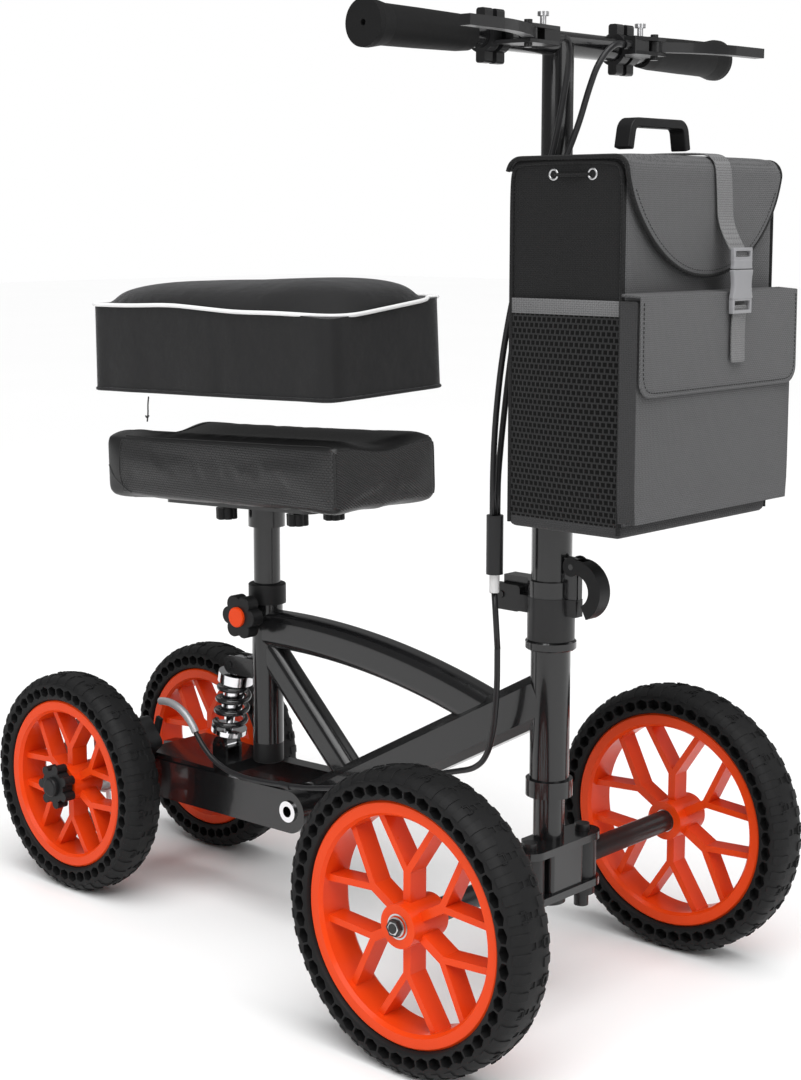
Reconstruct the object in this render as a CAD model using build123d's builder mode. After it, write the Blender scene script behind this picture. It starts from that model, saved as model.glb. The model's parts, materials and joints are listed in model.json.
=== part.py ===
"""Four-wheeled knee scooter: frame, suspended rear arm, linked front steering, folding stem, bag and knee pad.

X is the width (the rider's left is +X), -Y is forward, Z is up.  The origin is on the ground, in the middle of
the scooter's length and width.  All sizes are in millimetres.
"""

import os
from math import cos, pi, radians, sin, tan

from build123d import *

# ---------------------------------------------------------------- driving dimensions
WHEELBASE = 662.0
FRONT_Y = -299.0  # front axle
REAR_Y = FRONT_Y + WHEELBASE
FRONT_RADIUS, REAR_RADIUS = 152.5, 136.0
FRONT_RIM_RADIUS, REAR_RIM_RADIUS = 122.75, 104.5
FRONT_TRACK_HALF, REAR_TRACK_HALF = 225.75, 116.5
FRONT_TYRE_HALF, REAR_TYRE_HALF = 27.0, 25.0
SPOKES = 6

STEM_Y = FRONT_Y + 11.0  # steering and stem axis
STEERER_RADIUS = 12.7
HEAD_RADIUS, HEAD_LOW_RADIUS = 21.0, 16.5
HEAD_BOTTOM, HEAD_STEP, HEAD_TOP = 180.0, 245.0, 385.0
KINGPIN_X = 45.0
KINGPIN_RADIUS = 7.9
TIE_ARM = 38.0  # steering arm, pin to pin
FORK_LOW, FORK_HIGH, FORK_PLATE = 121.0, 180.0, 8.0

FOLD_Y, FOLD_Z = STEM_Y + 53.0, 438.0  # hinge behind the stem
FOLD_SPLIT = 441.0
LATCH_Y, LATCH_Z = STEM_Y - 31.0, 476.0
LOW_STEM_RADIUS, HIGH_STEM_RADIUS = 21.3, 16.0
LOW_STEM_TOP = 716.0
LATCH_X = 43.0  # height latch pin, left of the stem
BAR_Z, BAR_RADIUS, BAR_HALF = 1005.0, 12.5, 281.0
GRIP_INNER, GRIP_OUTER, GRIP_RADIUS = 142.0, 286.0, 18.5
CLAMP_X = 107.0
LEVER_PIVOT = (104.0, FRONT_Y - 33.0)
LEVER_TIP = (243.0, FRONT_Y - 72.0)
BUTTON_X = 80.0

BEAM_WIDTH, BEAM_HEIGHT = 42.0, 52.0
PIVOT_Y, PIVOT_Z = FRONT_Y + 349.0, 148.0  # swing arm pivot
ARM_OUTER, ARM_INNER = 55.0, 35.0
PIVOT_RADIUS = 10.0
SHOCK_TOP = (FRONT_Y + 492.0, 293.0)
SHOCK_FOOT = (FRONT_Y + 513.0, 188.0)

SEAT_Y = FRONT_Y + 439.0
SEAT_TUBE_RADIUS, SEAT_BORE, POST_RADIUS = 18.5, 16.0, 15.9
SEAT_TUBE_LOW, SEAT_TUBE_TOP, COLLAR_TOP = 205.0, 376.0, 400.0
KNOB_Z = 365.0
PAD_TILT = 2.2  # degrees, front edge up
PAD_WIDTH, PAD_LENGTH, PAD_THICK = 180.0, 400.0, 82.0
PAD_LOW = 501.0
CHANNEL_DEPTH, CHANNEL_HALF = 9.0, 70.0  # hollow along the pad's top
CHANNEL_RADIUS = (CHANNEL_HALF**2 + CHANNEL_DEPTH**2) / (2 * CHANNEL_DEPTH)
COVER_LIFT = 142.0  # how far the cover stands above its seated place

BAG_HALF, BAG_LOW, BAG_TOP = 127.0, 535.0, 885.0
BAG_REAR, BAG_FRONT = FRONT_Y - 32.0, FRONT_Y - 165.0
HANDLE_Z = BAG_TOP + 12.0  # carry handle pivot
FLAP_LOW = 775.0
STRAP_X = 20.0
CABLE_DIAMETER = 6.4
SPLITTER = (-45.0, FRONT_Y + 51.0)

PAD_PLANE = Plane(
    origin=(0, FRONT_Y + 437.0, PAD_LOW),
    x_dir=(1, 0, 0),
    z_dir=(0, sin(radians(PAD_TILT)), cos(radians(PAD_TILT))),
)

os.makedirs("parts", exist_ok=True)


# ---------------------------------------------------------------- helpers
def along_x(x, y, z):
    """Plane square to X: its local x is world Y and its local y is world Z."""
    return Plane(origin=(x, y, z), x_dir=(0, 1, 0), z_dir=(1, 0, 0))


def level(x, y, z):
    """Plane square to Z."""
    return Plane(origin=(x, y, z))


def radial(x, y, z):
    """Plane that holds an axle: its local x is world X and its local y is the radius."""
    return Plane(origin=(x, y, z), x_dir=(1, 0, 0), z_dir=(0, -1, 0))


def polar_point(radius, angle):
    """Point at a radius and an angle in degrees."""
    return (radius * cos(radians(angle)), radius * sin(radians(angle)))


def save(part, name):
    """Labels a finished piece and writes its STEP file."""
    part.label = name
    export_step(part, f"parts/{name}.step")


def rod(plane, radius, length, bore=0.0):
    """Round bar or tube from a plane along its normal."""
    with BuildPart() as bar:
        with BuildSketch(plane):
            Circle(radius)
            if bore:
                Circle(bore, mode=Mode.SUBTRACT)
        extrude(amount=length)
    return bar.part


def star_knob(plane, radius, core, lobes, depth, stud, stud_length):
    """Lobed hand knob: the plane is its mounting face, the stud points the other way."""
    with BuildPart() as knob:
        with BuildSketch(plane):
            Circle(core)
            lobe = (radius - core) + 1.5
            with PolarLocations(radius - lobe, lobes):
                Circle(lobe)
        extrude(amount=depth)
        fillet(knob.edges().group_by(Axis(plane.origin, plane.z_dir))[-1], 1.5)
        with BuildSketch(plane):
            Circle(stud)
        extrude(amount=-stud_length)
    return knob.part


def cord(name, points, diameter=CABLE_DIAMETER):
    """Cable of straight runs joined by the largest tangent arcs that its runs allow."""
    radii = []
    runs = [Vector(*b) - Vector(*a) for a, b in zip(points, points[1:])]
    for before, after in zip(runs, runs[1:]):
        half_turn = radians(before.get_angle(after)) / 2
        radii.append(0.45 * min(before.length, after.length) / tan(half_turn))
    with BuildPart() as cable:
        with BuildLine() as route:
            FilletPolyline(*points, radius=radii)
        with BuildSketch(Plane(origin=points[0], z_dir=runs[0])):
            Circle(diameter / 2)
        sweep()
    length = sum(edge.length for edge in route.edges())
    expected = length * pi * diameter**2 / 4
    print(f"{name}: length {length:.0f}, least radius {min(radii):.0f}, fill {cable.part.volume / expected:.4f}")
    save(cable.part, name)


# ---------------------------------------------------------------- wheels
def wheel(place, side, axle_y, radius, rim_radius, track_half, tyre_half, hub_half, axle_radius):
    """Wheel with six Y spokes and two bearings, and its solid tyre; side is -1 on the right, 1 on the left."""
    centre = (side * track_half, axle_y, radius)
    axle = Axis(centre, (1, 0, 0))
    flange, lip, barrel = 17.0, 22.0, rim_radius - 8.0
    face_inner = rim_radius - 15.0
    hub_radius, bearing_radius, bearing_width = 22.0, 13.0, 8.0
    fork_radius = 0.43 * rim_radius
    spoke_half_depth = 11.5

    with BuildPart() as rim:
        with BuildSketch(radial(*centre)):
            with BuildLine():
                Polyline(
                    (-lip, face_inner + 3), (-lip + 4, face_inner), (lip - 4, face_inner), (lip, face_inner + 3),
                    (lip, rim_radius - 2), (lip - 2, rim_radius), (flange, rim_radius), (flange, barrel),
                    (-flange, barrel), (-flange, rim_radius), (-lip + 2, rim_radius), (-lip, rim_radius - 2),
                    close=True,
                )
            make_face()
        revolve(axis=axle)
        with BuildSketch(along_x(centre[0] - hub_half, *centre[1:])):
            Circle(hub_radius)
        extrude(amount=2 * hub_half)
        with BuildSketch(along_x(centre[0] - spoke_half_depth, *centre[1:])):
            for k in range(SPOKES):
                turn = 30.0 + 360.0 / SPOKES * k
                with BuildLine():
                    Line(polar_point(hub_radius - 6, turn), polar_point(fork_radius, turn))
                trace(line_width=9.5)
                for spread in (-19.0, 19.0):
                    with BuildLine():
                        Line(polar_point(fork_radius - 2, turn), polar_point(face_inner + 3, turn + spread))
                    trace(line_width=7)
        extrude(amount=2 * spoke_half_depth)
        with BuildSketch(along_x(centre[0] - hub_half, *centre[1:])):
            Circle(axle_radius + 2.0)
        extrude(amount=2 * hub_half, mode=Mode.SUBTRACT)
        for start in (-hub_half, hub_half - bearing_width):
            with BuildSketch(along_x(centre[0] + start, *centre[1:])):
                Circle(bearing_radius)
            extrude(amount=bearing_width, mode=Mode.SUBTRACT)

    shoulder = radius - 12.0
    with BuildPart() as tyre:
        with BuildSketch(radial(*centre)):
            with BuildLine():
                Polyline(
                    (tyre_half, shoulder), (tyre_half, rim_radius + 8), (tyre_half - 4, rim_radius),
                    (flange, rim_radius), (flange, barrel), (-flange, barrel), (-flange, rim_radius),
                    (-tyre_half + 4, rim_radius), (-tyre_half, rim_radius + 8), (-tyre_half, shoulder),
                )
                ThreePointArc((-tyre_half, shoulder), (0, radius), (tyre_half, shoulder))
            make_face()
        revolve(axis=axle)
    save(tyre.part, f"{place}_tyre")

    with BuildPart() as bearings:
        for start in (-hub_half, hub_half - bearing_width):
            with BuildSketch(along_x(centre[0] + start, *centre[1:])):
                Circle(bearing_radius - 0.05)
                Circle(axle_radius + 0.06, mode=Mode.SUBTRACT)
            extrude(amount=bearing_width)
    save(Compound(children=[*rim.part.solids(), *bearings.part.solids()]), f"{place}_wheel")


for side_name, side in (("right", -1), ("left", 1)):
    wheel(f"front_{side_name}", side, FRONT_Y, FRONT_RADIUS, FRONT_RIM_RADIUS, FRONT_TRACK_HALF,
          FRONT_TYRE_HALF, 25.0, 5.0)
    wheel(f"rear_{side_name}", side, REAR_Y, REAR_RADIUS, REAR_RIM_RADIUS, REAR_TRACK_HALF,
          REAR_TYRE_HALF, 22.0, 6.0)

# ---------------------------------------------------------------- main frame
with BuildPart() as head_tube:
    with BuildSketch(level(0, STEM_Y, HEAD_BOTTOM)):
        Circle(HEAD_LOW_RADIUS)
    extrude(amount=HEAD_STEP - HEAD_BOTTOM)
    with BuildSketch(level(0, STEM_Y, HEAD_STEP)):
        Circle(HEAD_RADIUS)
    extrude(amount=HEAD_TOP - HEAD_STEP)
    with BuildSketch(level(0, STEM_Y, HEAD_BOTTOM)):
        Circle(STEERER_RADIUS + 1.3)
    extrude(amount=HEAD_TOP - HEAD_BOTTOM, mode=Mode.SUBTRACT)
with BuildPart() as headset_cups:
    with BuildSketch(level(0, STEM_Y, HEAD_TOP)):
        Circle(27.0)
        Circle(STEERER_RADIUS + 0.08, mode=Mode.SUBTRACT)
    extrude(amount=10.0)
    chamfer(headset_cups.edges().filter_by(GeomType.CIRCLE).sort_by(SortBy.RADIUS)[-2:], 1.5)
    with BuildSketch(level(0, STEM_Y, HEAD_STEP - 18.0)):
        Circle(25.0)
        Circle(HEAD_LOW_RADIUS, mode=Mode.SUBTRACT)
    extrude(amount=18.0)
save(headset_cups.part, "headset_cups")

BEAM_START_Y, BEAM_START_Z = FRONT_Y + 12.0, 148.0 + (349.0 - 12.0) * 0.5517
beam_run = Vector(0, BEAM_START_Y - PIVOT_Y, BEAM_START_Z - PIVOT_Z)
BEAM_PLANE = Plane(origin=(0, PIVOT_Y, PIVOT_Z), x_dir=(1, 0, 0), z_dir=beam_run)
with BuildPart() as main_beam:
    with BuildSketch(BEAM_PLANE):
        Rectangle(BEAM_WIDTH, BEAM_HEIGHT)
        chamfer(vertices(), 9.0)
    extrude(amount=beam_run.length)
    with BuildSketch(along_x(-BEAM_WIDTH / 2, PIVOT_Y, PIVOT_Z)):
        Circle(BEAM_HEIGHT / 2)
    extrude(amount=BEAM_WIDTH)
    with BuildSketch(along_x(-ARM_INNER + 0.4, PIVOT_Y, PIVOT_Z)):
        Circle(18.0)
    extrude(amount=2 * (ARM_INNER - 0.4))
    with BuildSketch(along_x(-ARM_INNER, PIVOT_Y, PIVOT_Z)):
        Circle(PIVOT_RADIUS)
    extrude(amount=2 * ARM_INNER, mode=Mode.SUBTRACT)
    with BuildSketch(level(0, STEM_Y, HEAD_STEP)):
        Circle(HEAD_RADIUS)
    extrude(amount=HEAD_TOP - HEAD_STEP + 40, mode=Mode.SUBTRACT)
    with BuildSketch(level(0, STEM_Y - 40, HEAD_STEP)):
        Rectangle(80, 80)
    extrude(amount=200, mode=Mode.SUBTRACT)
save(main_beam.part, "main_beam")

with BuildPart() as seat_tube:
    with BuildSketch(level(0, SEAT_Y, SEAT_TUBE_LOW)):
        Circle(SEAT_TUBE_RADIUS)
    extrude(amount=SEAT_TUBE_TOP - SEAT_TUBE_LOW)
    with BuildSketch(along_x(0, SEAT_Y, KNOB_Z)):
        Circle(9.0)
    extrude(amount=-30.0)
    for ear in (-1, 1):
        with BuildSketch(along_x(ear * 11.5, *SHOCK_TOP)):
            Circle(11.0)
            with Locations((-22.0, 0)):
                Rectangle(44.0, 22.0)
        extrude(amount=2.0, both=True)
    with BuildSketch(along_x(-15.0, *SHOCK_TOP)):
        Circle(4.0)
    extrude(amount=30.0)
    with BuildSketch(level(0, SEAT_Y, SEAT_TUBE_LOW)):
        Circle(SEAT_BORE)
    extrude(amount=SEAT_TUBE_TOP - SEAT_TUBE_LOW, mode=Mode.SUBTRACT)
    with BuildSketch(along_x(0, SEAT_Y, KNOB_Z)):
        Circle(4.1)
    extrude(amount=-31.0, mode=Mode.SUBTRACT)
save(seat_tube.part, "seat_tube")

with BuildPart() as seat_collar:
    with BuildSketch(level(0, SEAT_Y, SEAT_TUBE_TOP)):
        Circle(22.5)
        Circle(SEAT_BORE, mode=Mode.SUBTRACT)
    extrude(amount=COLLAR_TOP - SEAT_TUBE_TOP)
    fillet(seat_collar.edges().filter_by(GeomType.CIRCLE).group_by(Axis.Z)[-1].sort_by(SortBy.RADIUS)[-1], 2.0)

with BuildPart() as seat_tube_plug:
    with BuildSketch(level(0, SEAT_Y, SEAT_TUBE_LOW - 24.0)):
        Circle(SEAT_TUBE_RADIUS)
    extrude(amount=24.0)
    fillet(seat_tube_plug.edges().group_by(Axis.Z)[0], 2.0)
save(Compound(children=[*seat_collar.part.solids(), *seat_tube_plug.part.solids()]), "seat_tube_ends")

with BuildPart() as top_tube:
    with BuildLine() as arch:
        ThreePointArc((0, SEAT_Y, 345.0), (0, FRONT_Y + 262.0, 339.0), (0, FRONT_Y + 84.0, 300.0))
    with BuildSketch(Plane(origin=arch.edges()[0] @ 0, x_dir=(1, 0, 0), z_dir=(arch.edges()[0] % 0))):
        RectangleRounded(34.0, 44.0, 12.0)
    sweep()
    add(main_beam.part, mode=Mode.SUBTRACT)
    with BuildSketch(level(0, SEAT_Y, SEAT_TUBE_LOW)):
        Circle(SEAT_TUBE_RADIUS)
    extrude(amount=200.0, mode=Mode.SUBTRACT)
top_tube_part = top_tube.part.solids().sort_by(SortBy.VOLUME)[-1]
save(top_tube_part, "top_tube")

BRACE_TOP = (SEAT_Y - 8.0, 318.0)
BRACE_FOOT = (FRONT_Y + 300.0, 190.0)
brace_run = Vector(0, BRACE_FOOT[0] - BRACE_TOP[0], BRACE_FOOT[1] - BRACE_TOP[1])
with BuildPart() as brace:
    with BuildSketch(Plane(origin=(0, *BRACE_TOP), x_dir=(1, 0, 0), z_dir=brace_run)):
        RectangleRounded(28.0, 36.0, 11.0)
    extrude(amount=brace_run.length)
    add(main_beam.part, mode=Mode.SUBTRACT)
    add(top_tube_part, mode=Mode.SUBTRACT)
    with BuildSketch(level(0, SEAT_Y, SEAT_TUBE_LOW)):
        Circle(SEAT_TUBE_RADIUS)
    extrude(amount=200.0, mode=Mode.SUBTRACT)
brace_part = brace.part.solids().sort_by(SortBy.VOLUME)[-1]
save(brace_part, "brace")

with BuildPart() as cross_beam:
    with BuildSketch(level(0, FRONT_Y + 6.0, FORK_LOW)):
        RectangleRounded(56.0, 44.0, 5.0)
    extrude(amount=FORK_HIGH - FORK_LOW)
    for base in (FORK_LOW, FORK_HIGH - FORK_PLATE):
        with BuildSketch(level(0, FRONT_Y, base)):
            SlotOverall(2 * KINGPIN_X + 38.0, 38.0)
        extrude(amount=FORK_PLATE)
    with BuildSketch(level(0, STEM_Y, FORK_LOW)):
        Circle(STEERER_RADIUS + 0.1)
    extrude(amount=FORK_HIGH - FORK_LOW, mode=Mode.SUBTRACT)
    for side in (-1, 1):
        with BuildSketch(level(side * KINGPIN_X, FRONT_Y, FORK_LOW)):
            Circle(KINGPIN_RADIUS + 0.08)
        extrude(amount=FORK_HIGH - FORK_LOW, mode=Mode.SUBTRACT)
        with BuildSketch(level(side * KINGPIN_X, FRONT_Y, FORK_LOW + FORK_PLATE)):
            Circle(16.5)
        extrude(amount=FORK_HIGH - FORK_LOW - 2 * FORK_PLATE, mode=Mode.SUBTRACT)
with BuildPart() as front_frame:
    add(cross_beam.part)
    add(head_tube.part)
save(front_frame.part, "head_tube")

with BuildPart() as swing_pivot_sleeve:
    with BuildSketch(along_x(-ARM_OUTER - 0.4, PIVOT_Y, PIVOT_Z)):
        Circle(PIVOT_RADIUS)
    extrude(amount=2 * ARM_OUTER + 0.8)
    for side in (-1, 1):
        with BuildSketch(along_x(side * (ARM_OUTER + 0.4), PIVOT_Y, PIVOT_Z)):
            Circle(12.5)
        extrude(amount=side * 2.5)
    with BuildSketch(along_x(-ARM_OUTER - 4, PIVOT_Y, PIVOT_Z)):
        Circle(6.5)
    extrude(amount=2 * ARM_OUTER + 8, mode=Mode.SUBTRACT)
save(swing_pivot_sleeve.part, "swing_pivot_sleeve")

# ---------------------------------------------------------------- rear swing arm
AXLE_HOUSING = 66.0
with BuildPart() as swing_arm:
    for side in (-1, 1):
        with BuildSketch(along_x(side * (ARM_OUTER + ARM_INNER) / 2, PIVOT_Y, PIVOT_Z)):
            with BuildLine():
                Polyline((0, 24), (110, 21), (250, 17), (WHEELBASE - 349 + 12, 6), (WHEELBASE - 349 + 12, -28),
                         (250, -30), (0, -26))
                ThreePointArc((0, -26), (-25, -1), (0, 24))
            make_face()
        extrude(amount=(ARM_OUTER - ARM_INNER) / 2, both=True)
        with BuildSketch(along_x(side * (ARM_OUTER + ARM_INNER) / 2, PIVOT_Y, PIVOT_Z)):
            Circle(PIVOT_RADIUS + 0.08)
        extrude(amount=11.0, both=True, mode=Mode.SUBTRACT)
    with BuildSketch(level(0, FRONT_Y + 545.0, 160.0)):
        Rectangle(2 * ARM_OUTER - 6, 130.0)
    extrude(amount=13.0)
    with BuildSketch(along_x(-AXLE_HOUSING, REAR_Y, REAR_RADIUS)):
        Circle(17.0)
    extrude(amount=2 * AXLE_HOUSING)
    for ear in (-1, 1):
        with BuildSketch(along_x(ear * 11.5, *SHOCK_FOOT)):
            Circle(11.0)
            with Locations((0, -8.0)):
                Rectangle(24.0, 16.0)
        extrude(amount=2.0, both=True)
    with BuildSketch(along_x(-15.0, *SHOCK_FOOT)):
        Circle(4.0)
    extrude(amount=30.0)
    with BuildSketch(along_x(-AXLE_HOUSING - 1, REAR_Y, REAR_RADIUS)):
        Circle(6.0)
    extrude(amount=2 * AXLE_HOUSING + 2, mode=Mode.SUBTRACT)
save(swing_arm.part, "swing_arm")

KNOB_FACE_X = 141.0
save(rod(along_x(-150.0, REAR_Y, REAR_RADIUS), 6.0, 300.0), "rear_axle")
for side_name, side in (("right", -1), ("left", 1)):
    knob_plane = Plane(origin=(side * KNOB_FACE_X, REAR_Y, REAR_RADIUS), x_dir=(0, 1, 0), z_dir=(side, 0, 0))
    with BuildPart() as hub_knob:
        with BuildSketch(knob_plane):
            Circle(20.0)
            with PolarLocations(22.0, 7):
                Circle(5.8)
        extrude(amount=15.0)
        with BuildSketch(knob_plane.offset(15.0)):
            Circle(12.0)
        extrude(amount=6.0)
        fillet(hub_knob.edges().group_by(Axis.X)[0 if side < 0 else -1], 3.0)
        with BuildSketch(knob_plane):
            Circle(6.06)
        extrude(amount=10.0, mode=Mode.SUBTRACT)
    save(hub_knob.part, f"rear_hub_knob_{side_name}")

# disc brake on the right rear wheel
DISC_X, DISC_RADIUS = -77.0, 80.0
with BuildPart() as brake_disc:
    with BuildSketch(along_x(DISC_X - 1.0, REAR_Y, REAR_RADIUS)):
        Circle(DISC_RADIUS)
        Circle(DISC_RADIUS - 16.0, mode=Mode.SUBTRACT)
        for k in range(SPOKES):
            with BuildLine():
                Line(polar_point(20, 60 * k), polar_point(DISC_RADIUS - 12.0, 60 * k + 18))
            trace(line_width=7)
        Circle(24.0)
        Circle(17.3, mode=Mode.SUBTRACT)
        with PolarLocations(18.0 + 3.0, 6):
            Circle(1.6, mode=Mode.SUBTRACT)
    extrude(amount=2.0)
    with BuildSketch(along_x(-REAR_TRACK_HALF + 22.0, REAR_Y, REAR_RADIUS)):
        Circle(22.0)
        Circle(17.3, mode=Mode.SUBTRACT)
    extrude(amount=REAR_TRACK_HALF - 22.0 + DISC_X - 1.0)
save(brake_disc.part, "brake_disc")

CALIPER_ANGLE = 140.0
caliper_y, caliper_z = polar_point(84.0, CALIPER_ANGLE)
CALIPER_PLANE = Plane(
    origin=(0, REAR_Y + caliper_y, REAR_RADIUS + caliper_z),
    x_dir=(0, *polar_point(1.0, CALIPER_ANGLE)),
    z_dir=(1, 0, 0),
)
with BuildPart() as brake_caliper:
    with BuildSketch(CALIPER_PLANE.offset(-87.0)):
        RectangleRounded(50.0, 44.0, 8.0)
    extrude(amount=29.0)
    with BuildSketch(CALIPER_PLANE.offset(DISC_X - 2.5)):
        with Locations((-15.0, 0)):
            Rectangle(60.0, 60.0)
    extrude(amount=5.0, mode=Mode.SUBTRACT)
    with BuildSketch(along_x(-66.0, REAR_Y, REAR_RADIUS)):
        with BuildLine():
            Line(polar_point(17.0, CALIPER_ANGLE), polar_point(70.0, CALIPER_ANGLE))
        trace(line_width=26)
        Circle(25.0)
        Circle(17.0, mode=Mode.SUBTRACT)
    extrude(amount=6.0)
save(brake_caliper.part, "brake_caliper")

CALIPER_PIVOT = CALIPER_PLANE.from_local_coords((10.0, 8.0, -57.6))
with BuildPart() as caliper_arm:
    with BuildSketch(along_x(CALIPER_PIVOT.X, CALIPER_PIVOT.Y, CALIPER_PIVOT.Z)):
        with BuildLine():
            Line((0, 0), (-10, 30))
        trace(line_width=9)
        Circle(8.0)
    extrude(amount=4.0)
save(caliper_arm.part, "caliper_arm")

# ---------------------------------------------------------------- shock absorber
shock_run = Vector(0, SHOCK_FOOT[0] - SHOCK_TOP[0], SHOCK_FOOT[1] - SHOCK_TOP[1])
SHOCK_PLANE = Plane(origin=(0, *SHOCK_TOP), x_dir=(1, 0, 0), z_dir=shock_run)
SHOCK_LENGTH = shock_run.length
SPRING_START, SPRING_END, CAN_END = 24.3, SHOCK_LENGTH - 22.3, 66.0
with BuildPart() as shock_body:
    with BuildSketch(along_x(-9.0, *SHOCK_TOP)):
        Circle(9.0)
    extrude(amount=18.0)
    with BuildSketch(SHOCK_PLANE):
        Circle(9.0)
    extrude(amount=14.0)
    with BuildSketch(SHOCK_PLANE.offset(12.0)):
        Circle(22.0)
    extrude(amount=12.0)
    with BuildSketch(SHOCK_PLANE.offset(24.0)):
        Circle(13.0)
    extrude(amount=CAN_END - 24.0)
    with BuildSketch(SHOCK_PLANE.offset(28.0)):
        Circle(8.2)
    extrude(amount=CAN_END - 28.0, mode=Mode.SUBTRACT)
    with BuildSketch(along_x(-9.5, *SHOCK_TOP)):
        Circle(4.06)
    extrude(amount=19.0, mode=Mode.SUBTRACT)
save(shock_body.part, "shock_body")

with BuildPart() as shock_rod:
    with BuildSketch(along_x(-9.0, *SHOCK_FOOT)):
        Circle(9.0)
    extrude(amount=18.0)
    with BuildSketch(SHOCK_PLANE.offset(SHOCK_LENGTH - 22.0)):
        Circle(22.0)
    extrude(amount=6.0)
    with BuildSketch(SHOCK_PLANE.offset(SHOCK_LENGTH - 17.0)):
        Rectangle(18.0, 16.0)
    extrude(amount=15.0)
    with BuildSketch(SHOCK_PLANE.offset(50.0)):
        Circle(5.5)
    extrude(amount=SHOCK_LENGTH - 22.0 - 50.0 + 1.0)
    with BuildSketch(along_x(-9.5, *SHOCK_FOOT)):
        Circle(4.06)
    extrude(amount=19.0, mode=Mode.SUBTRACT)
save(shock_rod.part, "shock_rod")

WIRE, COIL_RADIUS = 3.5, 18.5
with BuildPart() as coil_spring:
    with BuildLine():
        Helix(pitch=15.5, height=SPRING_END - SPRING_START - 2 * WIRE, radius=COIL_RADIUS,
              center=SHOCK_PLANE.from_local_coords((0, 0, SPRING_START + WIRE)),
              direction=SHOCK_PLANE.z_dir)
    helix_wire = coil_spring.pending_edges[0] if coil_spring.pending_edges else None
    with BuildSketch(Plane(origin=helix_wire @ 0, z_dir=(helix_wire % 0))):
        Circle(WIRE)
    sweep(is_frenet=True)
save(coil_spring.part, "coil_spring")

# ---------------------------------------------------------------- steering
ARM_LOW, ARM_TOP, ROD_LOW = 110.0, 119.0, 98.0
steerer = rod(level(0, STEM_Y, 108.0), STEERER_RADIUS, FOLD_SPLIT - 6.0 - 108.0)


def steering_arm(x, y, hub, bore):
    """Arm under the cross beam with the tie rod's pin at its rear end."""
    with BuildPart() as arm:
        with BuildSketch(level(x, y, ARM_LOW)):
            with BuildLine():
                Line((0, 0), (0, TIE_ARM))
            trace(line_width=16)
            Circle(hub)
            with Locations((0, TIE_ARM)):
                Circle(8.0)
            Circle(bore, mode=Mode.SUBTRACT)
        extrude(amount=ARM_TOP - ARM_LOW)
        with BuildSketch(level(x, y + TIE_ARM, ROD_LOW - 2.0)):
            Circle(4.0)
        extrude(amount=ARM_LOW - ROD_LOW + 3.0)
    return arm.part


pitman_arm = steering_arm(0, STEM_Y, 19.0, STEERER_RADIUS)
for side_name, side in (("right", -1), ("left", 1)):
    pin_x = side * KINGPIN_X
    knuckle_arm = steering_arm(pin_x, FRONT_Y, 14.0, KINGPIN_RADIUS)
    kingpin = rod(level(pin_x, FRONT_Y, ROD_LOW - 2.0), KINGPIN_RADIUS, FORK_HIGH + 9.0 - ROD_LOW)
    with BuildPart() as stub_axle:
        with BuildSketch(level(pin_x, FRONT_Y, FORK_LOW + FORK_PLATE + 0.4)):
            Circle(15.5)
        extrude(amount=FORK_HIGH - FORK_LOW - 2 * FORK_PLATE - 0.8)
        with BuildSketch(along_x(pin_x, FRONT_Y, FRONT_RADIUS)):
            Circle(12.0)
        extrude(amount=side * (FRONT_TRACK_HALF - 25.0 - 1.5 - KINGPIN_X))
        with BuildSketch(along_x(pin_x, FRONT_Y, FRONT_RADIUS)):
            Circle(5.0)
        extrude(amount=side * (FRONT_TRACK_HALF + 25.0 + 8.0 - KINGPIN_X))
        with BuildSketch(along_x(side * (FRONT_TRACK_HALF + 26.0), FRONT_Y, FRONT_RADIUS)):
            RegularPolygon(9.0, 6)
        extrude(amount=side * 6.0)
        add(kingpin)
        add(knuckle_arm)
    save(stub_axle.part, f"steering_knuckle_{side_name}")

with BuildPart() as tie_rod:
    with BuildSketch(level(0, FRONT_Y + TIE_ARM, ROD_LOW)):
        SlotCenterToCenter(2 * KINGPIN_X, 15.0)
        with Locations((0, STEM_Y - FRONT_Y)):
            Circle(9.0)
        with Locations((0, (STEM_Y - FRONT_Y) / 2)):
            Rectangle(18.0, 10.0)
        with Locations((-KINGPIN_X, 0), (0, STEM_Y - FRONT_Y), (KINGPIN_X, 0)):
            Circle(4.3, mode=Mode.SUBTRACT)
    extrude(amount=9.0)
save(tie_rod.part, "tie_rod")

with BuildPart() as fold_base:
    with BuildSketch(level(0, STEM_Y, HEAD_TOP + 10.4)):
        Circle(25.0)
    extrude(amount=FOLD_SPLIT - HEAD_TOP - 10.4)
    with BuildSketch(Plane.YZ.offset(-18.0)):
        with Locations((STEM_Y + 28.0, FOLD_SPLIT - 9.0)):
            Rectangle(26.0, 18.0)
    extrude(amount=36.0)
    for ear in (-1, 1):
        with BuildSketch(along_x(ear * 13.9, FOLD_Y, FOLD_Z)):
            with Locations((-7.0, -2.0)):
                RectangleRounded(36.0, 28.0, 4.0)
        extrude(amount=4.1, both=True)
    with BuildSketch(level(0, STEM_Y - 29.0, FOLD_SPLIT - 18.0)):
        RectangleRounded(14.0, 16.0, 3.0)
    extrude(amount=18.0)
    with BuildSketch(along_x(-20.0, FOLD_Y, FOLD_Z)):
        Circle(4.0)
    extrude(amount=40.0, mode=Mode.SUBTRACT)
    add(steerer)
    add(pitman_arm)
    add(rod(along_x(-19.5, FOLD_Y, FOLD_Z), 4.0, 39.0))
save(fold_base.part, "steerer")

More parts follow.
